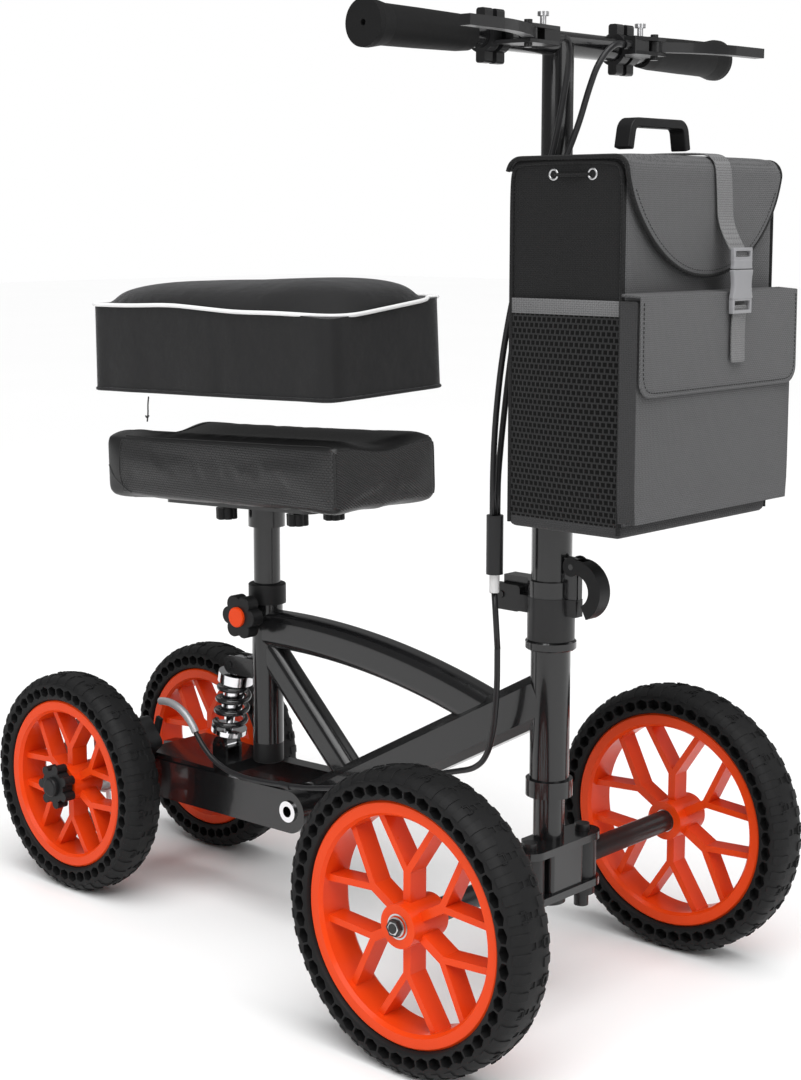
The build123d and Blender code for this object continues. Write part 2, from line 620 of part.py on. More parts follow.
# ---------------------------------------------------------------- folding stem
with BuildPart() as fold_head:
    with BuildSketch(level(0, STEM_Y, FOLD_SPLIT + 0.3)):
        Circle(25.0)
    extrude(amount=17.0)
    with BuildSketch(Plane.YZ.offset(-9.4)):
        with Locations((STEM_Y + 39.0, FOLD_SPLIT + 8.8)):
            Rectangle(34.0, 17.0)
    extrude(amount=18.8)
    with BuildSketch(along_x(-9.4, FOLD_Y, FOLD_Z)):
        Circle(10.0)
    extrude(amount=18.8)
    with BuildSketch(level(0, STEM_Y - 26.0, FOLD_SPLIT + 0.3)):
        RectangleRounded(12.0, 22.0, 3.0)
    extrude(amount=LATCH_Z + 8.0 - FOLD_SPLIT)
    with BuildSketch(along_x(-10.0, FOLD_Y, FOLD_Z)):
        Circle(4.06)
    extrude(amount=20.0, mode=Mode.SUBTRACT)
    with BuildSketch(level(0, STEM_Y, FOLD_SPLIT)):
        Circle(LOW_STEM_RADIUS)
    extrude(amount=60.0, mode=Mode.SUBTRACT)
    with BuildSketch(along_x(-9.0, LATCH_Y, LATCH_Z)):
        Circle(3.0)
    extrude(amount=18.0)
with BuildPart() as lower_stem:
    with BuildSketch(level(0, STEM_Y, FOLD_SPLIT + 0.3)):
        Circle(LOW_STEM_RADIUS)
    extrude(amount=LOW_STEM_TOP - FOLD_SPLIT - 0.3)
    with BuildSketch(level(0, STEM_Y, 500.0)):
        Circle(HIGH_STEM_RADIUS + 0.1)
    extrude(amount=LOW_STEM_TOP - 500.0, mode=Mode.SUBTRACT)
    add(fold_head.part)
save(lower_stem.part, "lower_stem")

with BuildPart() as fold_lever:
    with BuildSketch(along_x(-9.0, LATCH_Y, LATCH_Z)):
        with BuildLine():
            ThreePointArc((-4, 0), (-28, -14), (-17, -46))
        trace(line_width=15)
        Circle(10.0)
    extrude(amount=18.0)
    with BuildSketch(along_x(-6.4, LATCH_Y, LATCH_Z)):
        with Locations((4.0, -8.0)):
            Rectangle(36.0, 52.0)
    extrude(amount=12.8, mode=Mode.SUBTRACT)
    with BuildSketch(along_x(-10.0, LATCH_Y, LATCH_Z)):
        Circle(3.06)
    extrude(amount=20.0, mode=Mode.SUBTRACT)
save(fold_lever.part, "fold_lever")

with BuildPart() as height_clamp:
    with BuildSketch(level(0, STEM_Y, LOW_STEM_TOP - 26.0)):
        Circle(27.0)
        with Locations((27.0, 0)):
            RectangleRounded(14.0, 14.0, 3.0)
        Circle(LOW_STEM_RADIUS, mode=Mode.SUBTRACT)
    extrude(amount=26.0)
    with BuildSketch(level(0, STEM_Y, LOW_STEM_TOP)):
        Circle(27.0)
        Circle(HIGH_STEM_RADIUS + 0.1, mode=Mode.SUBTRACT)
    extrude(amount=4.0)
    with BuildSketch(level(LATCH_X, STEM_Y, LOW_STEM_TOP - 24.0)):
        Circle(3.0)
    extrude(amount=22.0)
    with BuildSketch(level(0, STEM_Y, LOW_STEM_TOP - 4.0)):
        with Locations((37.0, 0)):
            Rectangle(20.0, 10.0)
    extrude(amount=4.0)

with BuildPart() as height_lever:
    with BuildSketch(level(LATCH_X, STEM_Y, LOW_STEM_TOP - 24.0)):
        Circle(7.0)
        with BuildLine():
            ThreePointArc((0, 0), (4, 25), (-4, 48))
        trace(line_width=9)
        Circle(3.06, mode=Mode.SUBTRACT)
    extrude(amount=19.5)
save(height_lever.part, "height_lever")

with BuildPart() as bag_bracket:
    for z in (600.0, 660.0):
        with BuildSketch(level(0, STEM_Y, z)):
            Circle(26.0)
            with Locations((0, (BAG_REAR - STEM_Y) / 2 - 6.0)):
                Rectangle(24.0, STEM_Y - BAG_REAR - 12.0)
            Circle(LOW_STEM_RADIUS, mode=Mode.SUBTRACT)
        extrude(amount=18.0)
    with BuildSketch(level(0, BAG_REAR + 2.3, 570.0)):
        Rectangle(90.0, 4.0)
    extrude(amount=150.0)
save(Compound(children=[*height_clamp.part.solids(), *bag_bracket.part.solids()]), "stem_clamps")

# ---------------------------------------------------------------- bag
BAG_MID_Y, BAG_DEPTH = (BAG_REAR + BAG_FRONT) / 2, BAG_REAR - BAG_FRONT
with BuildPart() as bag_body:
    with BuildSketch(level(0, BAG_MID_Y, BAG_LOW)):
        RectangleRounded(2 * BAG_HALF, BAG_DEPTH, 12.0)
    extrude(amount=BAG_TOP - BAG_LOW)
    with BuildSketch(level(0, BAG_MID_Y, BAG_LOW + 5.0)):
        RectangleRounded(2 * BAG_HALF - 7.0, BAG_DEPTH - 7.0, 9.0)
    extrude(amount=BAG_TOP - BAG_LOW, mode=Mode.SUBTRACT)
save(bag_body.part, "bag_body")

with BuildPart() as bag_pocket:
    with BuildSketch(level(0, BAG_FRONT - 11.8, BAG_LOW + 16.0)):
        RectangleRounded(266.0, 23.0, 9.0)
    extrude(amount=205.0)
    fillet(bag_pocket.edges().group_by(Axis.Z)[0], 6.0)
with BuildPart() as bag_pocket_flap:
    with BuildSketch(Plane(origin=(0, BAG_FRONT - 23.6, BAG_LOW + 193.0), x_dir=(1, 0, 0), z_dir=(0, -1, 0))):
        RectangleRounded(270.0, 66.0, 18.0)
    extrude(amount=5.0)
save(Compound(children=[*bag_pocket.part.solids(), *bag_pocket_flap.part.solids()]), "bag_pocket")

with BuildPart() as bag_flap:
    with BuildSketch(level(0, BAG_MID_Y - 2.0, BAG_TOP + 0.4)):
        RectangleRounded(2 * BAG_HALF + 6.0, BAG_DEPTH + 10.0, 12.0)
    extrude(amount=5.0)
    with BuildSketch(Plane(origin=(0, BAG_FRONT - 0.5, BAG_TOP + 5.0), x_dir=(1, 0, 0), z_dir=(0, -1, 0))):
        with BuildLine():
            Line((-BAG_HALF - 2, 0), (BAG_HALF + 2, 0))
            ThreePointArc((-BAG_HALF - 2, 0), (0, FLAP_LOW - BAG_TOP - 5.0), (BAG_HALF + 2, 0))
        make_face()
    extrude(amount=7.0)
save(bag_flap.part, "bag_flap")

with BuildPart() as bag_handle:
    with BuildSketch(Plane(origin=(0, FRONT_Y - 106.0, HANDLE_Z), x_dir=(1, 0, 0), z_dir=(0, -1, 0))):
        with BuildLine():
            FilletPolyline((-48, 0), (-43, 25), (43, 25), (48, 0), radius=10)
        trace(line_width=9)
    extrude(amount=9.0, both=True)
    fillet(bag_handle.edges().filter_by(GeomType.LINE), 1.5)
save(bag_handle.part, "bag_handle")

with BuildPart() as bag_strap:
    with BuildSketch(level(STRAP_X, BAG_MID_Y - 6.0, BAG_TOP + 5.8)):
        Rectangle(26.0, BAG_DEPTH + 8.0)
    extrude(amount=2.0)
    with BuildSketch(Plane(origin=(STRAP_X, BAG_FRONT - 8.0, BAG_TOP + 6.0), x_dir=(1, 0, 0), z_dir=(0, -1, 0))):
        with Locations((0, -48.0)):
            Rectangle(26.0, 97.0)
    extrude(amount=2.3)
    with BuildSketch(Plane(origin=(STRAP_X, BAG_FRONT - 10.3, 793.0), x_dir=(1, 0, 0), z_dir=(0, -1, 0))):
        RectangleRounded(34.0, 20.0, 4.0)
    extrude(amount=8.0)
save(bag_strap.part, "bag_strap")

with BuildPart() as buckle_socket:
    with BuildSketch(Plane(origin=(STRAP_X, BAG_FRONT - 28.9, 762.0), x_dir=(1, 0, 0), z_dir=(0, -1, 0))):
        RectangleRounded(36.0, 40.0, 6.0)
    extrude(amount=6.1)
    with BuildSketch(Plane(origin=(STRAP_X, BAG_FRONT - 28.9, 720.0), x_dir=(1, 0, 0), z_dir=(0, -1, 0))):
        Rectangle(26.0, 48.0)
    extrude(amount=2.0)
save(buckle_socket.part, "buckle_socket")

# ---------------------------------------------------------------- handlebar
with BuildPart() as handlebar:
    with BuildSketch(along_x(-BAR_HALF, STEM_Y, BAR_Z)):
        Circle(BAR_RADIUS)
    extrude(amount=2 * BAR_HALF)
    with BuildSketch(level(0, STEM_Y, 560.0)):
        Circle(HIGH_STEM_RADIUS)
    extrude(amount=BAR_Z - 560.0)
save(handlebar.part, "handlebar")


def mirrored_line(side, *points):
    """Points of a level outline, mirrored on the right side."""
    return [(side * x, y) for x, y in points]


CLAMP_HALF = 8.0
grips, lever_brackets = [], []
for side_name, side in (("right", -1), ("left", 1)):
    with BuildPart() as grip:
        with BuildSketch(radial(0, STEM_Y, BAR_Z)):
            with BuildLine():
                Polyline((side * GRIP_INNER, BAR_RADIUS), (side * GRIP_INNER, 16.0), (side * 158, GRIP_RADIUS - 1),
                         (side * 215, GRIP_RADIUS), (side * 262, GRIP_RADIUS + 0.5), (side * 279, 22.0),
                         (side * GRIP_OUTER, 22.0), (side * GRIP_OUTER, 3.0), (side * BAR_HALF, 3.0),
                         (side * BAR_HALF, BAR_RADIUS), close=True)
            make_face()
        revolve(axis=Axis((0, STEM_Y, BAR_Z), (1, 0, 0)))
    grips += grip.part.solids()

    with BuildPart() as lever_bracket:
        for offset in (-9.0, 9.0):
            with BuildSketch(along_x(side * CLAMP_X + offset, STEM_Y, BAR_Z)):
                Circle(16.5)
                with Locations((0, 19.0), (0, -19.0)):
                    RectangleRounded(11.0, 14.0, 3.0)
                Circle(BAR_RADIUS, mode=Mode.SUBTRACT)
            extrude(amount=CLAMP_HALF - 2.0, both=True)
        for low in (BAR_Z - 9.0, BAR_Z + 5.4):
            with BuildSketch(level(0, 0, low)):
                with BuildLine():
                    Polyline(*mirrored_line(side, (118, STEM_Y - 14), (112, FRONT_Y - 42), (98, FRONT_Y - 42),
                                            (64, FRONT_Y - 39), (64, FRONT_Y - 25), (96, STEM_Y - 14)),
                             close=True)
                make_face()
            extrude(amount=3.6)
        with BuildSketch(level(side * 74.0, FRONT_Y - 32.0, BAR_Z - 9.0)):
            Rectangle(24.0, 14.0)
        extrude(amount=18.0)
        with BuildSketch(along_x(side * 62.0, FRONT_Y - 32.0, BAR_Z)):
            Circle(4.6)
        extrude(amount=-side * 10.0)
        with BuildSketch(level(side * LEVER_PIVOT[0], LEVER_PIVOT[1], BAR_Z - 13.0)):
            Circle(4.0)
        extrude(amount=26.0)
        with BuildSketch(level(side * BUTTON_X, FRONT_Y - 32.0, BAR_Z - 4.5)):
            Circle(3.1)
        extrude(amount=20.0, mode=Mode.SUBTRACT)
    lever_brackets += lever_bracket.part.solids()

    with BuildPart() as brake_lever:
        with BuildSketch(level(0, 0, BAR_Z - 5.0)):
            with BuildLine():
                ThreePointArc(*mirrored_line(side, LEVER_PIVOT, (150, FRONT_Y - 60.0), (192, FRONT_Y - 70.0)))
                Line(*mirrored_line(side, (192, FRONT_Y - 70.0), LEVER_TIP))
            trace(line_width=12)
            with Locations(*mirrored_line(side, LEVER_PIVOT)):
                Circle(9.0)
                Circle(4.06, mode=Mode.SUBTRACT)
        extrude(amount=10.0)
    save(brake_lever.part, f"brake_lever_{side_name}")

    with BuildPart() as lock_button:
        with BuildSketch(level(side * BUTTON_X, FRONT_Y - 32.0, BAR_Z + 2.0)):
            Circle(3.0)
        extrude(amount=20.0)
        with BuildSketch(level(side * BUTTON_X, FRONT_Y - 32.0, BAR_Z + 18.0)):
            Circle(5.5)
        extrude(amount=4.0)
    save(lock_button.part, f"lock_button_{side_name}")

save(Compound(children=grips), "grips")
save(Compound(children=lever_brackets), "lever_brackets")

# ---------------------------------------------------------------- seat post, knee pad and its cover
SEAT_PLATE_Z = 493.0
POST_LOW = 275.0
PAN_THICK = 5.0
with BuildPart() as pad_pan:
    with BuildSketch(PAD_PLANE.offset(-PAN_THICK)):
        RectangleRounded(110.0, 250.0, 12.0)
    extrude(amount=PAN_THICK)
    with BuildSketch(level(0, SEAT_Y, SEAT_PLATE_Z - 24.0)):
        Circle(22.0)
    extrude(until=Until.NEXT)
    with BuildSketch(level(0, SEAT_Y, POST_LOW)):
        Circle(POST_RADIUS)
    extrude(amount=SEAT_PLATE_Z - 24.0 - POST_LOW)
save(pad_pan.part, "seat_post")

with BuildPart() as knee_pad:
    with BuildSketch(PAD_PLANE):
        RectangleRounded(PAD_WIDTH, PAD_LENGTH, 16.0)
    extrude(amount=PAD_THICK)
    fillet(knee_pad.edges().group_by(Axis(PAD_PLANE.origin, PAD_PLANE.z_dir))[-1], 7.0)
    fillet(knee_pad.edges().group_by(Axis(PAD_PLANE.origin, PAD_PLANE.z_dir))[0], 5.0)
    with BuildSketch(Plane(origin=PAD_PLANE.from_local_coords((0, -PAD_LENGTH / 2 - 1, PAD_THICK)),
                           x_dir=(1, 0, 0), z_dir=PAD_PLANE.y_dir)):
        with Locations((0, CHANNEL_DEPTH - CHANNEL_RADIUS)):
            Circle(CHANNEL_RADIUS)
    extrude(amount=PAD_LENGTH + 2.0, mode=Mode.SUBTRACT)
save(knee_pad.part, "knee_pad")

KNOB_PLACES = ((-30.0, 40.0), (30.0, 40.0), (-30.0, -80.0), (30.0, -80.0))
pad_knobs = []
for knob_x, knob_y in KNOB_PLACES:
    face = PAD_PLANE.from_local_coords((knob_x, knob_y, -PAN_THICK - 4.0))
    down = Plane(origin=face, x_dir=(1, 0, 0), z_dir=(-PAD_PLANE.z_dir))
    pad_knobs += star_knob(down, 13.0, 9.0, 6, 14.0, 4.0, 4.0).solids()
save(Compound(children=pad_knobs), "pad_knobs")

COVER_LOW, COVER_ROOF, COVER_CROWN = COVER_LIFT - 17.0, COVER_LIFT + PAD_THICK + 1.0, 265.0
with BuildPart() as pad_cover:
    with BuildSketch(PAD_PLANE.offset(COVER_LOW)):
        RectangleRounded(PAD_WIDTH + 10.0, PAD_LENGTH + 10.0, 20.0)
    extrude(amount=COVER_CROWN - COVER_LOW)
    fillet(pad_cover.edges().group_by(Axis(PAD_PLANE.origin, PAD_PLANE.z_dir))[-1], 18.0)
    with BuildSketch(PAD_PLANE.offset(COVER_LOW)):
        RectangleRounded(PAD_WIDTH + 4.0, PAD_LENGTH + 4.0, 17.0)
    extrude(amount=COVER_ROOF - COVER_LOW, mode=Mode.SUBTRACT)
save(pad_cover.part, "pad_cover")

knob_side = Plane(origin=(-33.0, SEAT_Y, KNOB_Z), x_dir=(0, 1, 0), z_dir=(-1, 0, 0))
save(star_knob(knob_side, 27.0, 18.0, 6, 16.0, 4.0, 14.0), "seat_knob")
with BuildPart() as seat_knob_cap:
    with BuildSketch(knob_side.offset(16.0)):
        Circle(12.0)
    extrude(amount=4.0)
    fillet(seat_knob_cap.edges().group_by(Axis.X)[0], 1.5)
save(seat_knob_cap.part, "seat_knob_cap")

# ---------------------------------------------------------------- brake cables and what holds them
def rel(x, y, z):
    """Cable point with Y measured from the front axle."""
    return (x, FRONT_Y + y, z)


cord("brake_cable_right", [rel(*p) for p in (
    (-51.7, -32, 1005), (-42, -32, 1005), (-35, -30, 996), (-30, -25, 978), (-28, -18, 950), (-29, -10, 910),
    (-33, 2, 860), (-40, 18, 805), (-45, 32, 745), (-48, 42, 685), (-49.5, 48, 625), (-49.5, 50.5, 575),
    (-49, 51, 527.3))])
cord("brake_cable_left", [rel(*p) for p in (
    (51.7, -32, 1005), (39, -32, 1005), (26, -30, 997), (15, -26, 981), (7, -22, 957), (-4, -19, 924),
    (-19, -13, 887), (-31, 0, 840), (-36, 18, 785), (-35, 34, 728), (-34, 44, 670), (-36, 50, 612),
    (-39.5, 52, 565), (-41, 51, 527.3))])
cord("cable_riser", [rel(*p) for p in ((-44, 47, 385.6), (-45.5, 47.8, 412), (-45, 51, 444.6))])
cord("cable_frame", [rel(*p) for p in (
    (-59, 348, 180), (-58, 318, 183), (-54.5, 280, 190), (-48, 235, 201), (-40, 190, 214), (-32, 148, 227),
    (-27, 118, 236), (-27, 95, 243), (-31, 77, 255), (-37, 62, 275), (-42, 52, 305), (-44, 47, 345),
    (-44, 47.2, 385.3))])
cord("cable_arm", [rel(*p) for p in (
    (-59.5, 504, 214.5), (-60, 491, 201), (-60.5, 474, 188), (-60, 450, 178.5), (-59.2, 418, 175), (-59, 384, 177),
    (-59, 352.4, 180))])

with BuildPart() as cable_splitter:
    with BuildSketch(level(*SPLITTER, 465.0)):
        Circle(8.9)
    extrude(amount=62.0)
    with BuildSketch(level(*SPLITTER, 445.0)):
        Circle(4.8)
    extrude(amount=20.0)
save(cable_splitter.part, "cable_splitter")

boot_top, boot_end = rel(-60.0, 568.0, 243.0), rel(-59.5, 504.3, 215.2)
with BuildPart() as cable_boot:
    with BuildLine():
        ThreePointArc(boot_top, rel(-60.0, 535.0, 241.0), boot_end)
    boot_edge = cable_boot.pending_edges[0]
    with BuildSketch(Plane(origin=boot_edge @ 0, z_dir=(boot_edge % 0))):
        Circle(4.6)
    sweep()
save(cable_boot.part, "cable_boot")
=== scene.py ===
"""Looks of a four-wheeled knee scooter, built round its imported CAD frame."""
import json
import logging
import math
from dataclasses import dataclass
from enum import Enum
from typing import Any, Callable, Optional, Sequence

import bmesh
import bpy
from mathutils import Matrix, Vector
from mathutils.bvhtree import BVHTree


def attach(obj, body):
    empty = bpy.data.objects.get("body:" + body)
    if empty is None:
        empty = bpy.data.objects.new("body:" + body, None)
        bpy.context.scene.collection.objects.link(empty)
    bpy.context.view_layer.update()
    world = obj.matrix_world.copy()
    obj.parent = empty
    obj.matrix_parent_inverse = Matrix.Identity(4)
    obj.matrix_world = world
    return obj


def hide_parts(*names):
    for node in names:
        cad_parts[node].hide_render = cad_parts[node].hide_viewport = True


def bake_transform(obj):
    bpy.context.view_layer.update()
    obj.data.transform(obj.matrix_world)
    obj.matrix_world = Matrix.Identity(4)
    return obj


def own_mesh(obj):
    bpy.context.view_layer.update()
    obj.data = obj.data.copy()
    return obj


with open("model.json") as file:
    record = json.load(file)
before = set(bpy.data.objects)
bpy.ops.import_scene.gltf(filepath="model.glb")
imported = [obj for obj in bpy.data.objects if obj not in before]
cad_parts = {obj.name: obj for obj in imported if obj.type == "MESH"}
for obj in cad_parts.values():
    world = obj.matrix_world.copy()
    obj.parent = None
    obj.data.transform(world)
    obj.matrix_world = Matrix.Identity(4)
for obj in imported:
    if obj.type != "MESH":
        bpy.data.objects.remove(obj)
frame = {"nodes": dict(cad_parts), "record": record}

LOG = logging.getLogger("knee_scooter")
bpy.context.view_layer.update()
Point = tuple[float, float, float]
Color = tuple[float, float, float]
Move = Callable[[Vector], Vector]


class Part(Enum):
    """The kind of mesh element that an edit picks."""

    VERT = "VERT"
    EDGE = "EDGE"
    FACE = "FACE"


class Plane(Enum):
    """How the two directions of a cloth pattern lie on a piece."""

    UPRIGHT = "upright walls"
    OVER = "over the top and down the front"


# ------------------------------------------------------------------ finishes
class Recipe:
    """One node material while it is being written."""

    def __init__(self, name: str) -> None:
        """Starts a material that has only its main shader.

        Args:
            name: the material's name.
        """
        self.material = bpy.data.materials.new(name)
        self.material.use_nodes = True
        self.tree = self.material.node_tree
        self.shader = self.tree.nodes["Principled BSDF"]

    def add(self, kind: str, inputs: Optional[dict[Any, Any]] = None, **settings: Any) -> bpy.types.Node:
        """Adds a node.

        Args:
            kind: the node's type.
            inputs: values or sockets for its inputs, by name or number.
            **settings: the node's own properties.

        Returns:
            The new node.
        """
        node = self.tree.nodes.new(kind)
        for key, value in settings.items():
            setattr(node, key, value)
        for key, value in (inputs or {}).items():
            if isinstance(value, bpy.types.NodeSocket):
                self.tree.links.new(value, node.inputs[key])
            else:
                node.inputs[key].default_value = value
        return node

    def feed(self, name: str, value: Any) -> None:
        """Sets or links one input of the main shader.

        Args:
            name: the input's name.
            value: a number, a colour or a socket.
        """
        if isinstance(value, bpy.types.NodeSocket):
            self.tree.links.new(value, self.shader.inputs[name])
        else:
            self.shader.inputs[name].default_value = value

    def place(self) -> bpy.types.NodeSocket:
        """The point on the piece, in metres."""
        return self.add("ShaderNodeTexCoord").outputs["Object"]

    def sum(self, operation: str, a: Any, b: Any = 0.0) -> bpy.types.NodeSocket:
        """The result of one arithmetic step on two numbers or sockets."""
        return self.add("ShaderNodeMath", {0: a, 1: b}, operation=operation).outputs[0]

    def noise(self, scale: float, detail: float = 3.0) -> bpy.types.NodeSocket:
        """Smooth noise between 0 and 1.

        Args:
            scale: waves to the metre.
            detail: how many finer layers it holds.
        """
        node = self.add("ShaderNodeTexNoise", {"Vector": self.place(), "Scale": scale, "Detail": detail})
        return node.outputs["Fac"]

    def between(self, share: Any, low: Color, high: Color) -> bpy.types.NodeSocket:
        """A colour between two, by a share from 0 to 1."""
        node = self.add("ShaderNodeMix", {0: share, 6: (*low, 1.0), 7: (*high, 1.0)}, data_type="RGBA")
        return node.outputs[2]

    def span(self, share: Any, low: float, high: float) -> bpy.types.NodeSocket:
        """A number between two, by a share from 0 to 1."""
        return self.add("ShaderNodeMapRange", {"Value": share, "To Min": low, "To Max": high}).outputs[0]

    def relief(self, height: Any, depth: float, under: Any = None) -> bpy.types.NodeSocket:
        """A bumped normal.

        Args:
            height: the height from 0 to 1.
            depth: the real depth in metres.
            under: a normal that it is laid on.
        """
        inputs = {"Height": height, "Distance": depth, "Strength": 1.0}
        if under is not None:
            inputs["Normal"] = under
        return self.add("ShaderNodeBump", inputs).outputs["Normal"]

    def across(self, plane: Plane) -> tuple[bpy.types.NodeSocket, bpy.types.NodeSocket]:
        """The two directions of a cloth pattern on a piece."""
        axes = self.add("ShaderNodeSeparateXYZ", {0: self.place()}).outputs
        if plane is Plane.UPRIGHT:
            return self.sum("ADD", axes[0], axes[1]), axes[2]
        return axes[0], self.sum("SUBTRACT", axes[1], axes[2])


def darker(color: Color, share: float) -> Color:
    """A colour times a share."""
    return tuple(min(1.0, c * share) for c in color)


@dataclass(frozen=True)
class SolidFinish:
    """Paint, moulded plastic, rubber or bare metal, with slow mottling and a fine grain."""

    name: str
    color: Color
    roughness: float
    metallic: float = 0.0
    coat: float = 0.0
    mottling: float = 0.10
    unevenness: float = 0.05
    grain: float = 1400.0
    depth: float = 0.00003
    sheen: float = 0.0
    specular: float = 0.32

    def make(self) -> bpy.types.Material:
        """Writes the material."""
        r = Recipe(self.name)
        slow = r.noise(16.0, 4.0)
        r.feed("Base Color", r.between(slow, darker(self.color, 1 - self.mottling), darker(self.color, 1 + self.mottling)))
        r.feed("Roughness", r.span(r.noise(55.0, 5.0), self.roughness - self.unevenness, self.roughness + self.unevenness))
        r.feed("Metallic", self.metallic)
        r.feed("Specular IOR Level", self.specular)
        r.feed("Coat Weight", self.coat)
        r.feed("Coat Roughness", 0.07)
        r.feed("Sheen Weight", self.sheen)
        r.feed("Sheen Roughness", 0.5)
        wide = r.relief(r.noise(130.0, 2.0), self.depth * 2)
        r.feed("Normal", r.relief(r.noise(self.grain, 2.0), self.depth, wide))
        return r.material


@dataclass(frozen=True)
class WovenFinish:
    """Plain weave: threads that pass over and under each other."""

    name: str
    color: Color
    pitch: float = 0.0019
    plane: Plane = Plane.UPRIGHT
    roughness: float = 0.78
    contrast: float = 0.35
    depth: float = 0.00035
    sheen: float = 0.06

    def make(self) -> bpy.types.Material:
        """Writes the material."""
        r = Recipe(self.name)
        u, v = r.across(self.plane)
        flat = r.add("ShaderNodeCombineXYZ", {0: u, 1: v}).outputs[0]
        over = r.add("ShaderNodeTexChecker", {"Vector": flat, "Scale": 1.0 / self.pitch}).outputs["Fac"]
        warp = r.sum("ABSOLUTE", r.sum("SINE", r.sum("MULTIPLY", u, math.pi / self.pitch)))
        weft = r.sum("ABSOLUTE", r.sum("SINE", r.sum("MULTIPLY", v, math.pi / self.pitch)))
        thread = r.add("ShaderNodeMix", {0: over, 2: warp, 3: weft}, data_type="FLOAT").outputs[0]
        worn = r.sum("MULTIPLY_ADD", r.noise(22.0, 5.0), 0.5)
        share = r.sum("MULTIPLY", thread, r.sum("ADD", worn, 0.45))
        r.feed("Base Color", r.between(share, darker(self.color, 1 - self.contrast), darker(self.color, 1 + self.contrast)))
        r.feed("Roughness", r.span(thread, self.roughness + 0.1, self.roughness - 0.05))
        r.feed("Specular IOR Level", 0.2)
        r.feed("Sheen Weight", self.sheen)
        r.feed("Sheen Roughness", 0.45)
        slack = r.relief(r.noise(28.0, 3.0), 0.0012)
        r.feed("Normal", r.relief(thread, self.depth, slack))
        return r.material


@dataclass(frozen=True)
class NettingFinish:
    """Open netting in staggered rows of oval holes, with painted shade in the holes."""

    name: str
    thread: Color
    painted_hole_shade: Color
    width: float = 0.0058
    height: float = 0.0056

    def make(self) -> bpy.types.Material:
        """Writes the material."""
        r = Recipe(self.name)
        u, v = r.across(Plane.UPRIGHT)
        flat = r.add("ShaderNodeCombineXYZ", {0: u, 1: v}).outputs[0]
        holes = r.add(
            "ShaderNodeTexBrick",
            {"Vector": flat, "Color1": (0, 0, 0, 1), "Color2": (0, 0, 0, 1), "Mortar": (1, 1, 1, 1),
             "Scale": 100.0, "Mortar Size": 0.11, "Mortar Smooth": 0.6, "Brick Width": 100.0 * self.width,
             "Row Height": 100.0 * self.height},
        ).outputs["Fac"]
        # The holes take a near-black colour as painted shade of the gap behind the netting; the threads keep their own
        # colour.
        r.feed("Base Color", r.between(holes, self.painted_hole_shade, self.thread))
        r.feed("Roughness", r.span(holes, 0.9, 0.6))
        r.feed("Specular IOR Level", 0.15)
        r.feed("Sheen Weight", 0.05)
        r.feed("Normal", r.relief(holes, 0.0007, r.relief(r.noise(30.0), 0.001)))
        return r.material


@dataclass(frozen=True)
class EmbossedFinish:
    """Vinyl with a pressed basket pattern on its walls, fine slanting ribs on its ends and a plain top, coloured with
    painted highlight on the raised pattern and painted shade in its grooves.
    """

    name: str
    color: Color
    pitch: float = 0.0046

    def make(self) -> bpy.types.Material:
        """Writes the material."""
        r = Recipe(self.name)
        axes = r.add("ShaderNodeSeparateXYZ", {0: r.place()}).outputs
        wall = r.add("ShaderNodeCombineXYZ", {0: axes[1], 1: axes[2]}).outputs[0]
        basket = r.add(
            "ShaderNodeTexBrick",
            {"Vector": wall, "Scale": 100.0, "Mortar Size": 0.06, "Mortar Smooth": 0.8,
             "Brick Width": 100.0 * self.pitch, "Row Height": 62.0 * self.pitch},
        ).outputs["Fac"]
        slant = r.sum("ADD", axes[0], r.sum("MULTIPLY", axes[2], 1.7))
        ribs = r.sum("ABSOLUTE", r.sum("SINE", r.sum("MULTIPLY", slant, math.pi / (self.pitch * 1.1))))
        side = r.add("ShaderNodeAttribute", attribute_name="side").outputs["Fac"]
        end = r.add("ShaderNodeAttribute", attribute_name="end").outputs["Fac"]
        pressed = r.sum("MULTIPLY", r.sum("SUBTRACT", 1.0, basket), side)
        height = r.sum("ADD", pressed, r.sum("MULTIPLY", ribs, end))
        leather = r.noise(420.0, 2.0)
        # Colour follows the relief height: painted highlight on the raised blocks and ribs and painted shade in the
        # pressed grooves, which also leaves the plain top darker than the patterned walls; a slow noise adds random
        # tone.
        relief_shade_and_tone = r.sum("ADD", r.sum("MULTIPLY", height, 0.75), r.sum("MULTIPLY", r.noise(9.0), 0.25))
        r.feed("Base Color", r.between(relief_shade_and_tone, darker(self.color, 0.45), darker(self.color, 1.7)))
        r.feed("Roughness", r.span(leather, 0.36, 0.52))
        r.feed("Specular IOR Level", 0.4)
        r.feed("Coat Weight", 0.05)
        r.feed("Coat Roughness", 0.3)
        soft = r.relief(leather, 0.00012)
        r.feed("Normal", r.relief(height, 0.0009, soft))
        return r.material


@dataclass(frozen=True)
class PlushFinish:
    """Short-pile plush: soft sheen, slow crushed patches and a fine nap."""

    name: str
    color: Color

    def make(self) -> bpy.types.Material:
        """Writes the material."""
        r = Recipe(self.name)
        crushed = r.noise(11.0, 6.0)
        r.feed("Base Color", r.between(crushed, darker(self.color, 0.75), darker(self.color, 1.3)))
        r.feed("Roughness", r.span(crushed, 0.62, 0.8))
        r.feed("Specular IOR Level", 0.25)
        r.feed("Sheen Weight", 0.5)
        r.feed("Sheen Roughness", 0.3)
        r.feed("Sheen Tint", (0.8, 0.8, 0.82, 1.0))
        slack = r.relief(r.noise(17.0, 4.0), 0.003)
        r.feed("Normal", r.relief(r.noise(1900.0, 1.0), 0.0003, slack))
        return r.material


